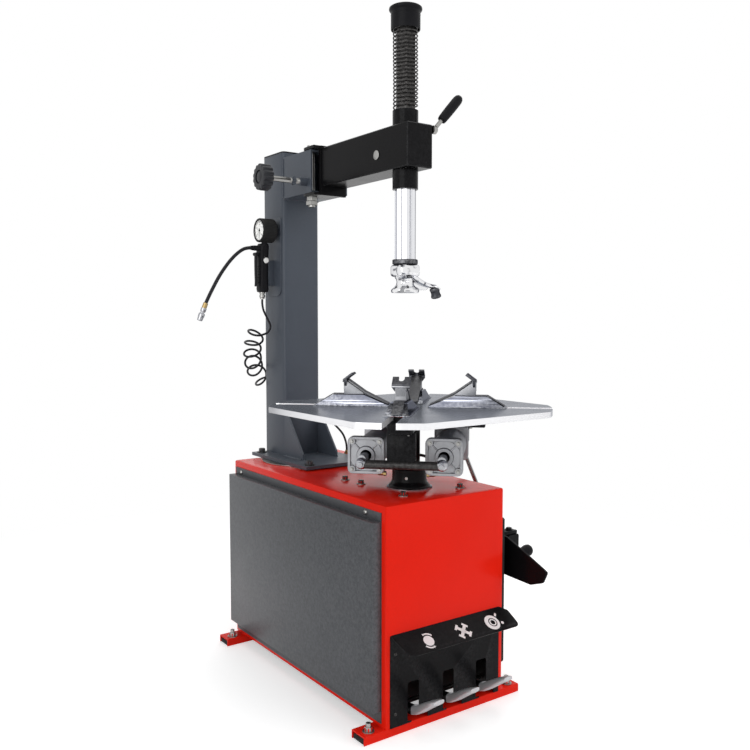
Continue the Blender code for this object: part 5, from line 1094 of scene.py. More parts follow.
def makeSpring():
    low = shaft["springLow"]
    high = shaft["springHigh"]
    count = spring["turns"] * spring["pointsATurn"]
    points = []
    for step in range(count + 1):
        share = step / count
        angle = 2 * math.pi * spring["turns"] * share
        lean = spring["wave"] * math.sin(2 * math.pi * share)
        # the two end turns lie closer together
        rise = share + 0.006 * math.sin(2 * math.pi * share)
        points.append(Vector((
            spring["radius"] * math.cos(angle) + lean,
            shaft["y"] + spring["radius"] * math.sin(angle),
            low + 2 * spring["wire"] + (high - low - 4 * spring["wire"]) * rise,
        )))
    shapes = [tube(points, spring["wire"], sides=10)]
    piece = addPiece("toolSpring", "swing_arm", "blackedSteel", shapes, sharp=80,
                     stands=["tool_spring"], slot="dark_steel")
    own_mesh(piece)


def makeShaftCap():
    top = shaft["capTop"]
    profile = [
        (0, top), (0.02, top - 0.003), (0.034, top - 0.0068), (0.0395, top - 0.0084), (0.0424, top - 0.0104),
        (0.0432, top - 0.0132), (0.043, top - 0.016), (0.0414, top - 0.0184), (0.0392, top - 0.02),
        (0.0386, top - 0.022), (0.0384, top - 0.024), (0.0384, top - 0.064), (0.0378, top - 0.066),
        (0.0366, top - 0.0662), (0.036, top - 0.065), (0.036, top - 0.0252), (0, top - 0.0252),
    ]
    addPiece("shaftCap", "tool", "blackMoulding", [lathe(profile, at((0, shaft["y"], 0)), 96)],
             stands=["shaft_cap"], slot="black_plastic", sharp=40)
    mould = torus((0, shaft["y"], top - 0.029), 0.0383, 0.0006)
    addPiece("capMouldLine", "tool", "blackMoulding", [mould], sharp=80, slot="black_plastic")


lever = {"root": (0.0424, 0.12, 1.503), "way": (0.084, -0.005, 0.094)}


def makeLockLever():
    root = Vector(lever["root"]) + Vector((0.005, 0, 0))
    way = Vector(lever["way"]).normalized()
    lean = Vector((0, 0, 1)).rotation_difference(way).to_matrix().to_4x4()
    grip = [(0, 0.092), (0.0046, 0.0912), (0.0086, 0.0888), (0.0114, 0.0845), (0.0127, 0.0785), (0.0131, 0.07),
            (0.0131, 0.042), (0.0127, 0.022), (0.012, 0.006), (0.0112, 0.0012), (0.0098, 0), (0, 0)]
    place = at(root + way * 0.036) @ lean
    addPiece("leverGrip", "lock_lever", "blackMoulding", [lathe(grip, place, 56)],
             stands=["lock_lever"], slot="black_plastic", sharp=50)
    hub = rod(lever["root"], Vector(lever["root"]) + Vector((0.0105, 0, 0)), 0.0108)
    stem = rod(root, root + way * 0.038, 0.0054)
    addPiece("leverStem", "lock_lever", "zincPlate", [hub, stem], bevel=0.0009, slot="black_plastic")


head = {"ring": 1.1586, "reach": 0.093, "fingerSteps": 14, "fingerRadius": 0.01}


def makeMountHead():
    y = shaft["y"]
    # the split clamp and its boss, under the ring
    block = box((-0.0285, y - 0.031, 1.1265), (0.0285, y + 0.031, head["ring"] - 0.0003), 0.008, 4)
    boss = lathe([(0, 0.037), (0.0085, 0.036), (0.0135, 0.0325), (0.015, 0.027), (0.015, -0.02), (0, -0.02)],
                 at((0, y - 0.018, 1.1415), "Y", -90), 48)
    slit = box((-0.05, y - 0.04, 1.1395), (0.05, y - 0.0215, 1.1415))
    hole = rod((0.0135, y - 0.04, 1.1445), (0.0135, y - 0.02, 1.1445), 0.0052)
    addPiece("headClamp", "tool", "headChromeBrightened", [block], [slit, hole], bevel=0.0008,
             slot="chrome", stands=["mount_head"])
    addPiece("headBoss", "tool", "headChromeBrightened", [boss], slot="chrome")
    neck = [(0, 1.1285), (0.0265, 1.1285), (0.0275, 1.124), (0.024, 1.119), (0.0225, 1.112), (0.024, 1.105),
            (0.029, 1.099), (0.034, 1.095), (0.037, 1.0915), (0.037, 1.0862), (0.035, 1.084), (0, 1.084)]
    window = box((-0.022, y - 0.03, 1.1105), (-0.004, y - 0.012, 1.1165), 0.002, 2)
    addPiece("headNeck", "tool", "headChromeBrightened", [lathe(neck, at((0, y, 0)), 80)], [window], slot="chrome", sharp=45)
    rest = plate([rounded([(-0.037, 1.084), (-0.02, 1.084), (-0.012, 1.1), (-0.022, 1.101)], 0.002)],
                 0.02, frontView(y - 0.018), 0.002)
    addPiece("headHeel", "tool", "groundSteel", [rest], slot="chrome")
    # the finger that lifts the bead, flattened and curling down to its insert
    points = []
    for step in range(head["fingerSteps"] + 1):
        share = step / head["fingerSteps"]
        points.append(Vector((
            0.008 + (head["reach"] - 0.008) * share,
            y - 0.018 + 0.006 * share,
            1.133 - 0.034 * math.sin(share * math.pi * 0.5) ** 0.9,
        )))
    radii = [0.0125 - 0.005 * math.sin(math.pi * 0.5 * step / head["fingerSteps"]) for step in range(len(points))]
    finger = tube(points, head["fingerRadius"], sides=16, radii=radii)
    bmesh.ops.scale(finger, vec=(1, 1, 0.72), space=at((0, 0, -1.11)), verts=finger.verts)
    web = plate([rounded([(0.01, 1.092), (0.01, 1.126), (0.034, 1.116), (0.07, 1.1), (0.06, 1.092)], 0.003)],
                0.007, frontView(y - 0.012), 0.002)
    addPiece("headFinger", "tool", "headChromeBrightened", [finger, web], slot="chrome", sharp=60)
    tip = points[-1]
    loop = torus((tip.x + 0.004, tip.y - 0.002, 1.1), 0.0088, 0.0026, spun("X", 18) @ spun("Y", 24))
    addPiece("headLoop", "tool", "headChromeBrightened", [loop], slot="chrome", sharp=80)
    insert = [(0, 0.015), (0.0085, 0.015), (0.0125, 0.013), (0.014, 0.0095), (0.0128, 0.005), (0.0118, 0),
              (0.0126, -0.005), (0.014, -0.009), (0.013, -0.013), (0.009, -0.015), (0, -0.015)]
    lean = at((tip.x + 0.001, tip.y, 1.0855), "Y", -16)
    bore = moved(rod((0, 0, -0.03), (0, 0, 0.03), 0.004), lean)
    addPiece("headInsert", "tool", "darkSteel", [lathe(insert, lean, 56)], [bore],
             stands=["head_insert"], slot="dark_steel", sharp=40)
    nut = rod((-0.006, y - 0.026, 1.1215), (-0.006, y - 0.026, 1.1268), 0.0085, sides=6)
    addPiece("headNut", "tool", "darkSteel", [nut], bevel=0.0005, slot="dark_steel")
    side = rod((0.0285, y + 0.004, 1.13), (0.0345, y + 0.004, 1.13), 0.01)
    addPiece("headSideBolt", "tool", "blackedSteel", [side], bevel=0.001, slot="dark_steel")
    band = lathe([(0, 1.1712), (0.0322, 1.1712), (0.0336, 1.17), (0.0336, 1.16), (0.0322, 1.1588),
                  (0, 1.1588)], at((0, y, 0)), 80)
    addPiece("headRing", "tool", "darkSteel", [band], slot="dark_steel", sharp=45)


dressArm()
makeSpring()
makeShaftCap()
makeLockLever()
makeMountHead()
print("swing arm and tool made")


# turntable, slides, jaws and clamp cylinders
jawAngles = {"front": -135, "right": -45, "rear": 45, "left": 135}
slideProfile = {
    "low": 0.7858, "crest": 0.8153, "inner": 0.05, "crestInner": 0.12, "crestOuter": 0.204, "outer": 0.25,
    "baseWidth": 0.06, "topWidth": 0.04,
}


def radial(name):
    return at(tableCentre, "Z", jawAngles[name])


def makeTable():
    dressNode("turntable", "tableSteel", 0.001)
    dressNode("table_spindle", "blackedSteel", 0.0006)
    collar = [(0.0284, 0.622), (0.0425, 0.622), (0.0458, 0.6195), (0.046, 0.612), (0.046, 0.5905), (0.0475, 0.586),
              (0.052, 0.58), (0.0555, 0.5765), (0.0556, 0.5), (0.0284, 0.5)]
    addPiece("hubCollar", "frame", "blackEnamel", [lathe(collar, at(tableCentre), 96)],
             stands=["hub_collar"], slot="black_paint", sharp=45)
    rim = [(0.0556, 0.5738), (0.0592, 0.5738), (0.0606, 0.5725), (0.0606, 0.5702), (0.0556, 0.5702)]
    addPiece("hubRing", "frame", "groundSteel", [lathe(rim, at(tableCentre), 96)], slot="zinc", sharp=45)
    grub = rod((-0.0335, 0.158 - 0.0305, 0.6), (-0.0352, 0.158 - 0.0322, 0.6), 0.0042, sides=6)
    addPiece("hubGrub", "frame", "zincPlate", [grub], bevel=0.0004, slot="zinc")


def slideCover(sizes):
    # a pressed cover: flat crest, sloping ends and flanks that spread towards the table
    outline = rounded(
        [(sizes["inner"], sizes["low"] + 0.0016), (sizes["outer"], sizes["low"] + 0.0016),
         (sizes["crestOuter"], sizes["crest"] - 0.0004), (sizes["crestInner"], sizes["crest"] - 0.0004)],
        [0, 0, 0.016, 0.01], 6,
    )
    bm = plate([outline], sizes["baseWidth"], frontView(0), 0)
    spread = (sizes["baseWidth"] - sizes["topWidth"]) / sizes["baseWidth"]
    for vert in bm.verts:
        rise = (vert.co.z - sizes["low"]) / (sizes["crest"] - sizes["low"])
        vert.co.y *= 1 - spread * max(0, min(1.0, rise)) ** 0.8
    return bm


def makeSlides():
    inner, outer, low, crest = (slideProfile[key] for key in ("inner", "outer", "low", "crest"))
    crestInner, crestOuter = slideProfile["crestInner"] + 0.05, slideProfile["crestOuter"]
    for name in jawAngles:
        body = f"slide_{name}"
        matrix = radial(name)
        flange = box((inner + 0.004, -0.0325, low), (outer + 0.004, 0.0325, low + 0.0018), 0.0006, 1)
        addPiece(f"slideCover_{name}", body, "slideChromeDarkened", [slideCover(slideProfile), flange], bevel=0.0016,
                 slot="chrome", stands=[body], place=matrix)
        ramp = [(crestOuter + 0.002, crest + 0.0003), (outer - 0.002, low + 0.0032), (outer - 0.0005, low + 0.005),
                (crestOuter + 0.0016, crest + 0.002), (crestInner, crest + 0.002), (crestInner, crest + 0.0003)]
        addPiece(f"slideRamp_{name}", body, "darkSteel", [plate([ramp], 0.026, frontView(0), 0.0004)], bevel=0.0005,
                 slot="chrome", place=matrix)
        block = [box((0.13, -0.0155, 0.769), (0.19, 0.0155, 0.787), 0.0008, 1),
                 box((0.12, -0.03, 0.7351), (0.2, 0.03, 0.7701), 0.003, 2)]
        if name == "rear":
            block.append(box((0.142, -0.12, 0.7148), (0.168, 0.12, 0.7371), 0.002, 2))
        addPiece(f"slideBlock_{name}", body, "blackEnamel", block, slot="chrome", place=matrix)
        addPiece(f"slideBolt_{name}", body, "zincPlate", hexBolt((0, 0, 0), 0.01, 0.006, 0.0075), bevel=0.0003,
                 slot="zinc", place=matrix @ at((0.16, 0.018, 0.735)) @ Matrix.Rotation(math.pi, 4, "X"))


jaw = {
    "face": 0.1745, "base": 0.8156, "top": 0.8568, "claw": 0.15, "clawTop": 0.874, "width": 0.028,
    "forkWidth": 0.045, "notch": 0.0074, "notchRun": 0.0085, "knurl": 0.0021,
}


def knurledFace():
    # small pyramids, point outward, over the upper part of the jaw's face
    bm = bmesh.new()
    step = jaw["knurl"]
    width = jaw["width"] - 0.003
    high = jaw["top"] - 0.0075
    low = high - 0.0225
    columns = int(width / step)
    rows = int((high - low) / step)
    for row in range(rows):
        for column in range(columns):
            s = -width / 2 + (column + 0.5) * width / columns + (0.0005 if row % 2 else -0.0005)
            z = low + (row + 0.5) * step
            tip = bm.verts.new((jaw["face"] + 0.001, s, z))
            base = [bm.verts.new((jaw["face"] - 0.0002, s + a * step * 0.5, z + b * step * 0.5))
                    for a, b in ((-1, 0), (0, -1), (1, 0), (0, 1))]
            for i in range(4):
                bm.faces.new((tip, base[i], base[(i + 1) % 4]))
    bmesh.ops.recalc_face_normals(bm, faces=bm.faces)
    return bm


def makeJaws():
    face, base, top, half, notch = jaw["face"], jaw["base"], jaw["top"], jaw["forkWidth"] / 2, jaw["notch"]
    end = jaw["claw"] + jaw["notchRun"]
    # a gusset on the slide with a bar that rises along it from the table's middle
    gusset = [(0.1205, base), (face - 0.0002, base), (face - 0.0002, top - 0.004), (0.163, top - 0.008),
              (0.1215, base + 0.0048)]
    bar = [(0.056, 0.7895), (0.1195, base + 0.0022), (0.121, base + 0.005), (0.1635, top - 0.0065),
           (0.162, top - 0.002), (0.118, base + 0.0085), (0.0545, 0.7928)]
    claw = rounded(
        [(face - 0.0115, top - 0.007), (face + 0.0012, top - 0.0062), (face + 0.0012, top - 0.0006),
         (jaw["claw"] + 0.002, jaw["clawTop"]), (jaw["claw"] - 0.003, jaw["clawTop"] - 0.0046),
         (0.165, top - 0.0005)],
        [0.001, 0.001, 0.002, 0.002, 0.0015, 0.004], 4,
    )
    ears = [(-half, top + 0.0004), (-half, top - 0.0085), (-0.0145, top - 0.019), (0.0145, top - 0.019),
            (half, top - 0.0085), (half, top + 0.0004)]
    for name in jawAngles:

        def addPart(label, finish, shapes, cuts=(), **options):
            addPiece(f"{label}_{name}", f"slide_{name}", finish, shapes, cuts, slot="dark_steel", place=radial(name),
                     **options)

        addPart("jawBody", "castAlloy", [plate([gusset], jaw["width"], frontView(0), 0.001)], bevel=0.0004,
                stands=[f"jaw_{name}"])
        addPart("jawBar", "jawSteel", [plate([bar], jaw["width"] + 0.003, frontView(0), 0.0009)], bevel=0.0004)
        addPart("jawKnurl", "groundSteel", [knurledFace()], sharp=10)
        mouth = [rod((end, 0, top - 0.003), (end, 0, top + 0.04), notch),
                 box((0.12, -notch, top - 0.003), (end, notch, top + 0.04))]
        addPart("jawFork", "darkSteel", [plate([claw], jaw["forkWidth"], frontView(0), 0.0008)], mouth, bevel=0.0005)
        addPart("jawWings", "darkSteel", [plate([ears], 0.006, sideView(face - 0.0045), 0.0006)], bevel=0.0004)
        addPart("jawLip", "groundSteel",
                [box((face - 0.0005, -0.0225, top - 0.0085), (face + 0.002, 0.0225, top - 0.005), 0.0009, 2)])


cylinder = {
    "spread": 0.1, "height": 0.667, "head": 0.095, "front": 0.1, "headLength": 0.025, "rear": -0.17,
    "radius": 0.043, "bore": 0.014, "rim": 0.0075, "recess": 0.006,
}


def headShapes(e, face, outward):
    # one cast head: rim, recess, diagonal ribs, ring and corner bosses; outward is +1 or -1 along local X
    z = cylinder["height"]
    half = cylinder["head"] / 2
    inner = half - cylinder["rim"]
    floor = face - outward * cylinder["recess"]
    back = face - outward * cylinder["headLength"]

    def slab(a, b, size, bevel, segments=4):
        return box((min(a, b), e - size, z - size), (max(a, b), e + size, z + size), bevel, segments, "X")

    solid = slab(back, face, half, 0.013)
    pocket = slab(floor, face + outward * 0.02, inner, 0.01)
    shapes = []
    for diagonal in range(4):
        angle = math.radians(45 + 90 * diagonal)
        rib = box((min(floor, face), 0.016, -0.0019), (max(floor, face) - 0.0012, 0.05, 0.0019), 0.0009, 2)
        turn = at((0, e, z)) @ Matrix.Rotation(angle, 4, "X")
        shapes.append(moved(rib, turn))
        place = Vector((0, math.cos(angle), math.sin(angle))) * (half - 0.0115) * math.sqrt(2)
        y = e + place.y
        up = z + place.z
        shapes.append(rod((floor - outward * 0.002, y, up), (face + outward * 0.0012, y, up), 0.0098, 0.009))
    turn = at((floor, e, z), "Y", 90 * outward)
    ring = [(0.015, 0.0072), (0.0225, 0.0072), (0.024, 0.0055), (0.0248, -0.001), (0.015, -0.001)]
    shapes.append(lathe(ring, turn, 64))
    return solid, pocket, shapes


def makeCylinders():
    matrix = radial("front")
    z, front, rear = (cylinder[key] for key in ("height", "front", "rear"))
    reach = (cylinder["head"] / 2 - 0.0115) * math.sqrt(2)
    for name, side in (("left", -1), ("right", 1)):
        e = side * cylinder["spread"]
        bore = rod((rear + 0.012, e, z), (front + 0.03, e, z), cylinder["bore"], sides=48)
        for label, face, outward in (("Front", front, 1), ("Rear", rear, -1)):
            solid, pocket, shapes = headShapes(e, face, outward)
            cuts = [pocket, bore.copy()] if label == "Front" else [pocket]
            stands = [f"clamp_cylinder_{name}"] if label == "Front" else []
            addPiece(f"cylinderHead{label}_{name}", "slide_rear", "castAlloy", [solid], cuts, bevel=0.0012,
                     stands=stands, slot="cast_metal", place=matrix)
            addPiece(f"cylinderRibs{label}_{name}", "slide_rear", "castAlloy", shapes, bevel=0.0006,
                     slot="cast_metal", place=matrix)
            for number, angle in enumerate((45, 135, 225, 315)):
                y = e + reach * math.cos(math.radians(angle))
                up = z + reach * math.sin(math.radians(angle))
                bolt = hexBolt((face + outward * 0.001, y, up), 0.008, 0.0048, 0.0062, (outward, 0, 0), 0.001)
                addPiece(f"headBolt{label}_{name}{number}", "slide_rear", "zincPlate", bolt, bevel=0.0003,
                         slot="zinc", place=matrix)
        barrel = rod((front - 0.004, e, z), (rear + 0.004, e, z), cylinder["radius"], sides=80)
        addPiece(f"cylinderBarrel_{name}", "slide_rear", "castAlloy", [barrel], [bore], bevel=0.0006,
                 slot="cast_metal", place=matrix)
        # the port elbow under the front head
        port = [
            rod((0.06, e - side * 0.026, z - 0.043), (0.06, e - side * 0.026, z - 0.0545), 0.0072, sides=6),
            rod((0.06, e - side * 0.026, z - 0.0525), (0.06, e - side * 0.044, z - 0.0525), 0.0052),
            rod((0.06, e - side * 0.04, z - 0.0525), (0.06, e - side * 0.047, z - 0.0525), 0.0068, sides=6),
        ]
        addPiece(f"portElbow_{name}", "slide_rear", "brassFitting", port, bevel=0.0004, slot="zinc", place=matrix)


def makeYoke():
    e, z = cylinder["spread"], cylinder["height"]
    bar = z - 0.012
    middle = 0.16

    def addPart(name, finish, shapes, **options):
        addPiece(name, "slide_front", finish, shapes, slot="black_paint", place=radial("front"), **options)

    addPart("yokePlate", "blackEnamel", [box((0.155, -0.036, bar - 0.006), (0.165, 0.036, 0.7347), 0.0012, 2)],
            stands=["clamp_yoke"])
    addPart("crossbar", "blackedSteel", [rod((middle, -e + 0.006, bar), (middle, e - 0.006, bar), 0.0112, sides=48)],
            bevel=0.001)
    for name, side in (("left", -1), ("right", 1)):
        piston = rod((middle, side * e, z), (cylinder["rear"] + 0.051, side * e, z), 0.0106, sides=48)
        addPart(f"pistonRod_{name}", "groundSteel", [piston], bevel=0.0006)
        eye = ball((middle, side * e, bar + 0.002), 0.015, (0.92, 1.0, 1.0))
        nut = hexBolt((middle + 0.0125, side * e, bar + 0.001), 0.0125, 0.0062, 0.0088, (1, 0, 0), 0.0015)
        addPart(f"rodEye_{name}", "chromePlate", [eye, *nut], bevel=0.0003)


clampHose = {"radius": 0.004, "front": 0.0747, "across": 0.062, "height": 0.634}


def makeClampHose():
    front = clampHose["front"]
    e = clampHose["across"]
    z = clampHose["height"]
    half = [(front, e, z), (front - 0.014, e, z), (0.02, e - 0.006, z + 0.002), (-0.028, e - 0.008, z + 0.004),
            (-0.062, e - 0.02, z + 0.006), (-0.082, 0.018, z + 0.008)]
    local = [(d, -across, up) for d, across, up in half] + half[::-1]
    matrix = radial("front")
    route = smoothRoute([matrix @ Vector(point) for point in local], 0.004)
    hose = tube(route, clampHose["radius"], sides=14)
    addPiece("clampHose", "slide_rear", "hoseSkin", [hose], sharp=80, stands=["clamp_hose"], slot="black_rubber")


makeTable()
makeSlides()
makeJaws()
makeCylinders()
makeYoke()
makeClampHose()
print("turntable made")


# three cast pedals
pedals = {"pedal_table": -0.11, "pedal_clamp": 0.003, "pedal_breaker": 0.115}
pedal = {"shaftY": 0.05, "shaftZ": 0.048, "hub": 0.013}


def pedalBody(x):
    # lofted from its hub through the guard to a broad, dished pad
    stations = (
        # y, middle z, half height, half width
        (0.05, 0.0485, 0.012, 0.01), (0.02, 0.049, 0.0118, 0.0102), (0, 0.0505, 0.0122, 0.0108),
        (-0.022, 0.06, 0.0128, 0.0118), (-0.045, 0.0735, 0.0125, 0.0135), (-0.065, 0.087, 0.011, 0.0155),
        (-0.082, 0.0975, 0.009, 0.0168), (-0.095, 0.1045, 0.0075, 0.0165), (-0.103, 0.1085, 0.0055, 0.014),
    )
    sections = [((x, y, z), (wide, 0, 0), (0, 0, high)) for y, z, high, wide in stations]
    return loft(sections, 20, 0.6)


def makePedals():
    y, z, hub = pedal["shaftY"], pedal["shaftZ"], pedal["hub"]
    for name, x in pedals.items():
        # the tapered pocket in the upper face
        outline = [(x - 0.0085, -0.006), (x + 0.0085, -0.006), (x + 0.0018, -0.079), (x - 0.0018, -0.079)]
        slope = at((0, 0, 0.0895)) @ at((0, -0.045, 0), "X", -29) @ at((0, 0.045, 0))
        obj = addPiece(f"{name}Lever", name, "pedalAlloy", [pedalBody(x)], [plate([outline], 0.02, slope)], sharp=50,
                       stands=[name], slot="cast_metal")
        rounding = obj.modifiers.new("rounding", "BEVEL")
        rounding.width = 0.0008
        rounding.limit_method = "ANGLE"
        rounding.angle_limit = math.radians(50)
        addPiece(f"{name}Hub", name, "pedalAlloy", [rod((x - hub, y, z), (x + hub, y, z), hub)], bevel=0.001,
                 slot="cast_metal")


makePedals()
print("pedals made")


# bead breaker on the right
shovel = {"x": 0.251, "sheet": 0.007, "lugs": (0.3656, 0.4164), "middle": 0.372, "dish": 0.0034}
grab = {"x": 0.302, "footY": 0.15, "foot": 0.4163, "y": 0.274, "bend": 0.61, "top": 0.69}


def makeShovel():
    outline = rounded(
        [(-0.105, 0.357), (0.045, 0.421), (0.175, 0.43), (0.192, 0.372), (0.16, 0.322), (0.03, 0.314),
         (-0.05, 0.311), (-0.092, 0.326)],
        [0.008, 0.03, 0.014, 0.02, 0.018, 0.02, 0.014, 0.012], 8,
    )
    sheet = plate([outline], shovel["sheet"], sideView(shovel["x"] - 0.0015), 0.0018)
    # a dished blade: its edges lean towards the tyre
    bmesh.ops.triangulate(sheet, faces=sheet.faces)
    bmesh.ops.subdivide_edges(sheet, edges=sheet.edges, cuts=2, use_grid_fill=True)
    for vert in sheet.verts:
        reach = (vert.co.z - shovel["middle"]) / 0.055
        vert.co.x += 0.003 - shovel["dish"] * min(1.5, reach * reach)
    addPiece("shovelBlade", "breaker_blade", "blackEnamel", [sheet], slot="black_paint", sharp=40,
             stands=["breaker_blade"])
    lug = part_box("breaker_blade")[1].x - home.x
    x, y, z = jointPlace("blade_tilt")
    shapes = [box((0.253, y - 0.014, low), (lug, y + 0.014, low + 0.01), 0.0015) for low in shovel["lugs"]]
    shapes += [rod((x, y, 0.3636), (x, y, 0.43), 0.0079), *hexBolt((x, y, 0.4264), 0.015, 0.005, 0.011)]
    addPiece("shovelLugs", "breaker_blade", "blackEnamel", shapes, slot="black_paint", bevel=0.0004)
    knob = [(0, 0.0375), (0.008, 0.037), (0.0128, 0.0345), (0.0155, 0.03), (0.016, 0.024),
            (0.0148, 0.016), (0.0115, 0.008), (0.0105, 0), (0, 0)]
    place = at((0.2555, -0.003, 0.388), "Y", 90)
    addPiece("shovelKnob", "breaker_blade", "blackMoulding", [lathe(knob, place, 56)], slot="black_paint", sharp=50)


def makeGrab():
    foot = Vector((grab["x"], grab["footY"], grab["foot"]))
    bend = Vector((grab["x"], grab["y"], grab["bend"]))
    top = Vector((grab["x"], grab["y"], grab["top"]))
    bars = []
    for across in (-0.0042, 0.0042):
        shift = Vector((0, across, 0))
        route = smoothRoute([foot + shift, foot.lerp(bend, 0.5) + shift, bend - Vector((0, 0.004, 0.006)) + shift,
                             bend + Vector((0, 0, 0.01)) + shift, top + shift], 0.006)
        bars.append(tube(route, 0.0036, sides=12))
    addPiece("grabBars", "breaker_arm", "zincPlate", bars, sharp=80, slot="steel", stands=["breaker_handle"])
    grip = [(0, 0.018), (0.007, 0.0172), (0.0104, 0.0145), (0.011, 0.01), (0.0108, -0.034),
            (0.0094, -0.0395), (0, -0.04)]
    addPiece("grabGrip", "breaker_arm", "blackMoulding", [lathe(grip, at(top), 48)], slot="steel", sharp=50)
    foothold = box((grab["x"] - 0.0055, grab["footY"] - 0.0115, grab["foot"]),
                   (grab["x"] + 0.005, grab["footY"] + 0.0115, 0.4215), 0.001)
    addPiece("grabFoot", "breaker_arm", "zincPlate", [foothold], slot="steel")


def dressBreaker():
    for dressing in (
        ("breaker_arm", "blackEnamel", 0.0008), ("breaker_pivot", "blackEnamel", 0.0006),
        ("breaker_rod", "chromePlate", 0), ("breaker_cylinder", "castAlloy", 0.0008),
    ):
        dressNode(*dressing)
    low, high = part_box("breaker_rod")
    centre = Vector((high.x - 0.018, (low.y + high.y) / 2, (low.z + high.z) / 2)) - home
    lock = lathe([(0, 0.0186), (0.01, 0.016), (0.016, 0.0095), (0.0184, 0), (0.016, -0.0095),
                  (0.0105, -0.016), (0.0105, -0.0178), (0, -0.0178)],
                 at(centre, "Y", 90), 56)
    addPiece("rodNut", "breaker_rod", "chromePlate", [lock], slot="chrome", sharp=50)


makeShovel()
makeGrab()
dressBreaker()
print("bead breaker made")


# drive inside the housing
fins = {"count": 28, "inner": 0.068, "outer": 0.0755, "front": 0.302, "back": 0.476, "half": 0.0011, "height": 0.2,
        "gap": 32}


def dressDrive():
    for dressing in (
        ("gearbox", "darkSteel", 0.0008), ("motor", "slateEnamel", 0.0008),
        ("valve_block", "blackedSteel", 0.0008), ("drive_belt", "blackRubber"),
        ("gearbox_pulley", "groundSteel", 0.0006), ("motor_pulley", "groundSteel", 0.0006),
    ):
        dressNode(*dressing)
    # cooling fins round the motor, left out over its foot
    shapes = []
    for step in range(fins["count"]):
        angle = 2 * math.pi * step / fins["count"]
        if abs(math.degrees(angle) - 90) < fins["gap"]:
            continue
        fin = box((fins["inner"], fins["front"], -fins["half"]), (fins["outer"], fins["back"], fins["half"]))
        shapes.append(moved(fin, at((0, 0, fins["height"])) @ Matrix.Rotation(-angle, 4, "Y")))
    addPiece("motorFins", "frame", "slateEnamel", shapes, slot="grey_paint")


dressDrive()


# inflator grip with its gauge
gauge = {"y": 0.755, "z": 1.29, "radius": 0.034, "back": -0.078, "face": -0.13, "ribs": 45, "ticks": 40,
         "start": 225, "sweep": 270, "steps": 4, "step": 3}
grip = {"x": -0.106, "y": 0.78, "low": 1.1}


def gaugeMatrix(x):
    # local X to the front, local Y up, local Z towards the gauge's face
    return Matrix(((0, 0, -1, x), (-1, 0, 0, gauge["y"]), (0, 1, 0, gauge["z"]), (0, 0, 0, 1)))


def makeGauge():
    radius = gauge["radius"]
    length = gauge["back"] - gauge["face"]
    case = [(radius - 0.0035, length - 0.0035), (radius - 0.0028, length + 0.0002),
            (radius - 0.0006, length + 0.0002), (radius, length - 0.0015), (radius, 0.003), (radius - 0.004, 0),
            (0.014, 0), (0.0138, -0.009), (0, -0.009)]
    bezel = lathe(case, gaugeMatrix(gauge["back"]), 80)
    addPiece("gaugeCase", "frame", "blackMoulding", [bezel], stands=["gauge_case"], slot="black_plastic", sharp=40)
    boot = []
    for step in range(gauge["ribs"]):
        angle = 2 * math.pi * step / gauge["ribs"]
        rib = box((radius - 0.001, -0.0013, 0.006), (radius + 0.0032, 0.0013, length - 0.0022), 0.0007, 1)
        boot.append(moved(rib, gaugeMatrix(gauge["back"]) @ Matrix.Rotation(angle, 4, "Z")))
    sleeve = [(radius, length - 0.0008), (radius + 0.0026, length - 0.0012), (radius + 0.003, length - 0.003),
              (radius + 0.002, length - 0.006), (radius + 0.0018, 0.008), (radius, 0.006)]
    boot.append(lathe(sleeve, gaugeMatrix(gauge["back"]), 96))
    addPiece("gaugeBoot", "frame", "blackRubber", boot, slot="black_plastic", sharp=40)
    plain = gaugeMatrix(gauge["face"] + 0.0036)
    dial = lathe([(0, 0.0006), (radius - 0.0035, 0.0006), (radius - 0.0035, -0.001), (0, -0.001)], plain, 80)
    addPiece("gaugeDial", "frame", "dialCard", [dial], slot="black_plastic")
    ticks = []
    marks = []
    for step in range(gauge["ticks"] + 1):
        angle = math.radians(gauge["start"] - gauge["sweep"] * step / gauge["ticks"])
        long = step % 5 == 0
        start = radius - (0.0115 if long else 0.0092)
        end = radius - 0.0066
        width = 0.0006 if long else 0.00032
        tick = box((start, -width, 0.0006), (end, width, 0.0009))
        ticks.append(moved(tick, plain @ Matrix.Rotation(angle, 4, "Z")))
    ring = arcBand(radius - 0.0062, 0.0006, gauge["start"] - gauge["sweep"], gauge["start"], 48)
    ticks.append(plate([ring], 0.0003, plain @ at((0, 0, 0.00075))))
    addPiece("gaugeTicks", "frame", "blackEnamel", ticks, slot="black_plastic")
    for number in range(gauge["steps"] + 1):
        angle = math.radians(gauge["start"] - gauge["sweep"] * number / gauge["steps"])
        text = bpy.data.curves.new(f"gaugeNumber{number}", "FONT")
        text.body = str(gauge["step"] * number)
        text.size = 0.007
        text.extrude = 0.0001
        text.align_x = "CENTER"
        text.align_y = "CENTER"
        reach = radius - 0.016
        place = plain @ at((reach * math.cos(angle), reach * math.sin(angle), 0.00075))
        marks.append(moved(meshOf(text), place))
    addPiece("gaugeNumbers", "frame", "blackEnamel", marks, slot="black_plastic")
    hand = [(-0.0012, -0.006), (0.0012, -0.006), (0.0005, 0.0235), (-0.0005, 0.0235)]
    down = gaugeMatrix(gauge["face"] + 0.0018) @ spun("Z", 180)
    shapes = [plate([hand], 0.0005, down)]
    shapes.append(lathe([(0, 0.0012), (0.0026, 0.001), (0.0034, 0), (0.0034, -0.001), (0, -0.001)], down, 32))
    addPiece("gaugeHand", "needle", "blackEnamel", shapes, stands=["gauge_needle"], slot="black_plastic")
    sheen = lathe([(0, 0.0004), (radius - 0.004, 0), (radius - 0.004, -0.0003), (0, 0.0001)],
                  gaugeMatrix(gauge["face"] - 0.0001), 64)
    addPiece("gaugeGlass", "frame", "gaugeLens", [sheen], slot="black_plastic")


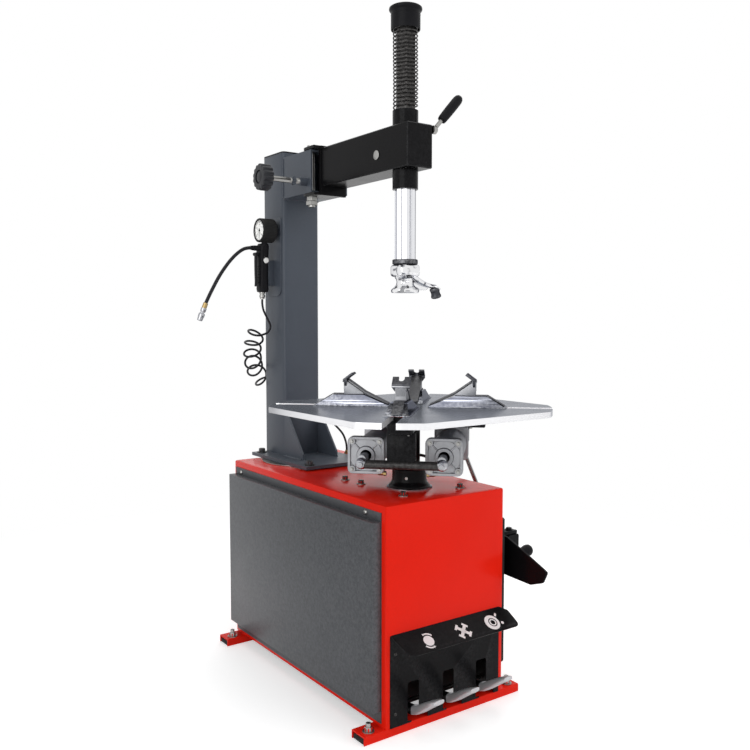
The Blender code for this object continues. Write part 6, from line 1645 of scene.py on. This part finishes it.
def makeLens():
    # clear window: shadow rays pass, so the dial below stays lit
    material, tree, shader = newMaterial("gaugeLens")
    marks = placeGroup(tree, handlingMarks, Roughness=0.05, Smears=0.06, Rubs=0.02)
    feed(tree, {"Base Color": (1, 1, 1, 1), "Transmission Weight": 1.0, "IOR": 1.05,
                "Roughness": marks.outputs["Roughness"]}, shader)
    return material


def makeInflator():
    dressNode("gun_hanger", "slateEnamel", 0.0006)
    x = grip["x"]
    y = grip["y"]
    # body lofted along its height: rounded block, waisted where the hand closes
    stations = (
        # z, half width in X, half width in Y, shift in Y
        (1.0995, 0.0105, 0.012, 0), (1.101, 0.0135, 0.015, 0), (1.11, 0.015, 0.0168, 0),
        (1.13, 0.0138, 0.016, 0), (1.155, 0.0128, 0.0152, 0), (1.185, 0.0132, 0.0156, -0.001),
        (1.21, 0.0146, 0.0168, -0.001), (1.23, 0.015, 0.017, -0.002), (1.244, 0.0148, 0.0168, -0.004),
        (1.251, 0.012, 0.014, -0.006),
    )
    sections = [((x + 0.0012, y + shift, z), (1.06 * wide, 0, 0), (0, 1.22 * deep, 0))
                for z, wide, deep, shift in stations]
    addPiece("inflatorGrip", "frame", "blackMoulding", [loft(sections, 28, 0.62)], stands=["inflator_body"],
             slot="black_plastic", sharp=50)
    button = lathe([(0, 0.0032), (0.007, 0.003), (0.009, 0.0016), (0.0093, -0.002), (0, -0.002)],
                   at((x + 0.0042, y - 0.019, 1.199), "X", 90), 40)
    addPiece("inflatorButton", "frame", "dialCard", [button], slot="black_plastic")
    ribs = []
    for step in range(7):
        z = 1.128 + 0.0085 * step
        ribs.append(box((x - 0.015, y - 0.01, z), (x - 0.0128, y + 0.01, z + 0.003), 0.0008, 2))
    addPiece("inflatorRibs", "frame", "blackMoulding", ribs, slot="black_plastic")
    neck = lathe([(0, 0.006), (0.0088, 0.006), (0.0092, 0), (0.0092, -0.008), (0, -0.008)],
                 at((x, gauge["y"] + 0.008, 1.2515)), 40)
    elbow = lathe([(0, 0.0318), (0.007, 0.0318), (0.0082, 0.03), (0.0082, 0), (0, 0)],
                  at((x, 0.77, 1.236), "Y", -90), 40)
    addPiece("inflatorNeck", "frame", "blackMoulding", [neck, elbow], slot="black_plastic")
    tail = [(0, 0.004), (0.0088, 0.004), (0.0092, 0), (0.0092, -0.004), (0.0078, -0.005), (0.0078, -0.0085)]
    tail += [(0.009, -0.0095), (0.009, -0.016), (0.0072, -0.018), (0.0072, -0.0215), (0, -0.0215)]
    addPiece("inflatorUnion", "frame", "zincPlate",
             [lathe(tail, at((x, y, grip["low"])), 40)], slot="chrome", sharp=40)
    hinge = jointPlace("trigger_squeeze")
    route = smoothRoute([hinge, hinge + Vector((-0.0014, 0, -0.02)), hinge + Vector((-0.001, 0, -0.055)),
                         hinge + Vector((0.0004, 0, -0.085)), hinge + Vector((-0.0014, 0, -0.1))], 0.004)
    bar = tube(route, 0.0046, sides=14, radii=[0.0046] * len(route))
    bmesh.ops.scale(bar, vec=(0.5, 1.9, 1), space=at(-hinge), verts=bar.verts)
    pivot = rod(hinge - Vector((0, 0.0095, 0)), hinge + Vector((0, 0.0095, 0)), 0.0056)
    addPiece("inflatorLever", "trigger", "blackMoulding", [bar, pivot], stands=["inflator_trigger"],
             slot="black_plastic", sharp=60)


surfaces["gaugeLens"] = makeLens()
makeGauge()
makeInflator()
print("inflator made")


# floor, world and lamps
studio = {"floor": (0.9, 0.9, 0.9), "world": 0.36, "lift": 0.42, "fadeStart": 1.1, "fadeEnd": 2.3}


def seenFirst(tree):
    # one for the camera and for what shows in glass or in a mirror
    rays = addNode(tree, "LightPath", {})
    seen = mathNode(tree, "MAXIMUM", rays["Is Camera Ray"], rays["Is Transmission Ray"])
    return mathNode(tree, "MAXIMUM", seen, rays["Is Glossy Ray"])


def makeFloor():
    floor = meshObject("studioFloor", [])
    bm = bmesh.new()
    bmesh.ops.create_grid(bm, x_segments=1, y_segments=1, size=14)
    bm.to_mesh(floor.data)
    bm.free()
    floor.location = (0, 0, -0.0004)
    material, tree, shader = newMaterial("studioFloor")
    seen = seenFirst(tree)
    feed(tree, {
        "Base Color": (*studio["floor"], 1), "Roughness": 0.9, "Specular IOR Level": 0.1,
        "Emission Color": (1, 1, 1, 1), "Emission Strength": mathNode(tree, "MULTIPLY", seen, studio["lift"]),
    }, shader)
    # away from the machine the floor runs out into the white behind it
    reach = addNode(tree, "VectorMath", {0: objectPoint(tree)}, operation="LENGTH")["Value"]
    fade = addNode(tree, "MapRange", {"From Min": studio["fadeStart"], "From Max": studio["fadeEnd"], "Value": reach},
                   interpolation_type="SMOOTHSTEP")[0]
    mix = addNode(tree, "MixShader", {
        "Fac": mathNode(tree, "MULTIPLY", fade, seen), 1: tree.nodes["Principled BSDF"].outputs[0],
        2: addNode(tree, "Emission", {"Color": (1, 1, 1, 1)})[0],
    })
    tree.links.new(mix[0], tree.nodes["Material Output"].inputs["Surface"])
    floor.data.materials.append(material)


def makeWorld():
    world = bpy.data.worlds.new("studio")
    scene.world = world
    world.use_nodes = True
    tree = world.node_tree
    feed(tree, {"Color": (1, 1, 1, 1), "Strength": studio["world"]}, tree.nodes["Background"].inputs)
    white = addNode(tree, "Background", {"Color": (1, 1, 1, 1), "Strength": 1.0})[0]
    mix = addNode(tree, "MixShader", {"Fac": seenFirst(tree), 1: tree.nodes["Background"].outputs[0], 2: white})
    tree.links.new(mix[0], tree.nodes["World Output"].inputs["Surface"])


lamps = {
    "leftPanel": {"place": (-3.6, -1.6, 2.0), "aim": (0, 0.2, 0.9), "size": (3.0, 3.4), "power": 62,
                  "mirrored": True},
    "rightPanel": {"place": (2.0, -3.6, 2.2), "aim": (0, 0.2, 0.9), "size": (3.0, 3.4), "power": 70},
    "topPanel": {"place": (0.2, -0.2, 4.4), "aim": (0, 0.1, 0.6), "size": (3.4, 3.4), "power": 66},
    "rearPanel": {"place": (2.2, 3.4, 2.4), "aim": (0, 0.3, 0.9), "size": (3.0, 3.0), "power": 46},
}


def makeLamps():
    for name, lamp in lamps.items():
        data = bpy.data.lights.new(name, "AREA")
        data.shape = "RECTANGLE"
        data.size, data.size_y = lamp["size"]
        data.energy = lamp["power"]
        obj = bpy.data.objects.new(name, data)
        scene.collection.objects.link(obj)
        obj.location = lamp["place"]
        obj.visible_glossy = lamp.get("mirrored", False)
        away = Vector(lamp["place"]) - Vector(lamp["aim"])
        obj.rotation_euler = away.to_track_quat("Z", "Y").to_euler()


makeFloor()
makeWorld()
makeLamps()
scene.view_settings.view_transform = "Standard"
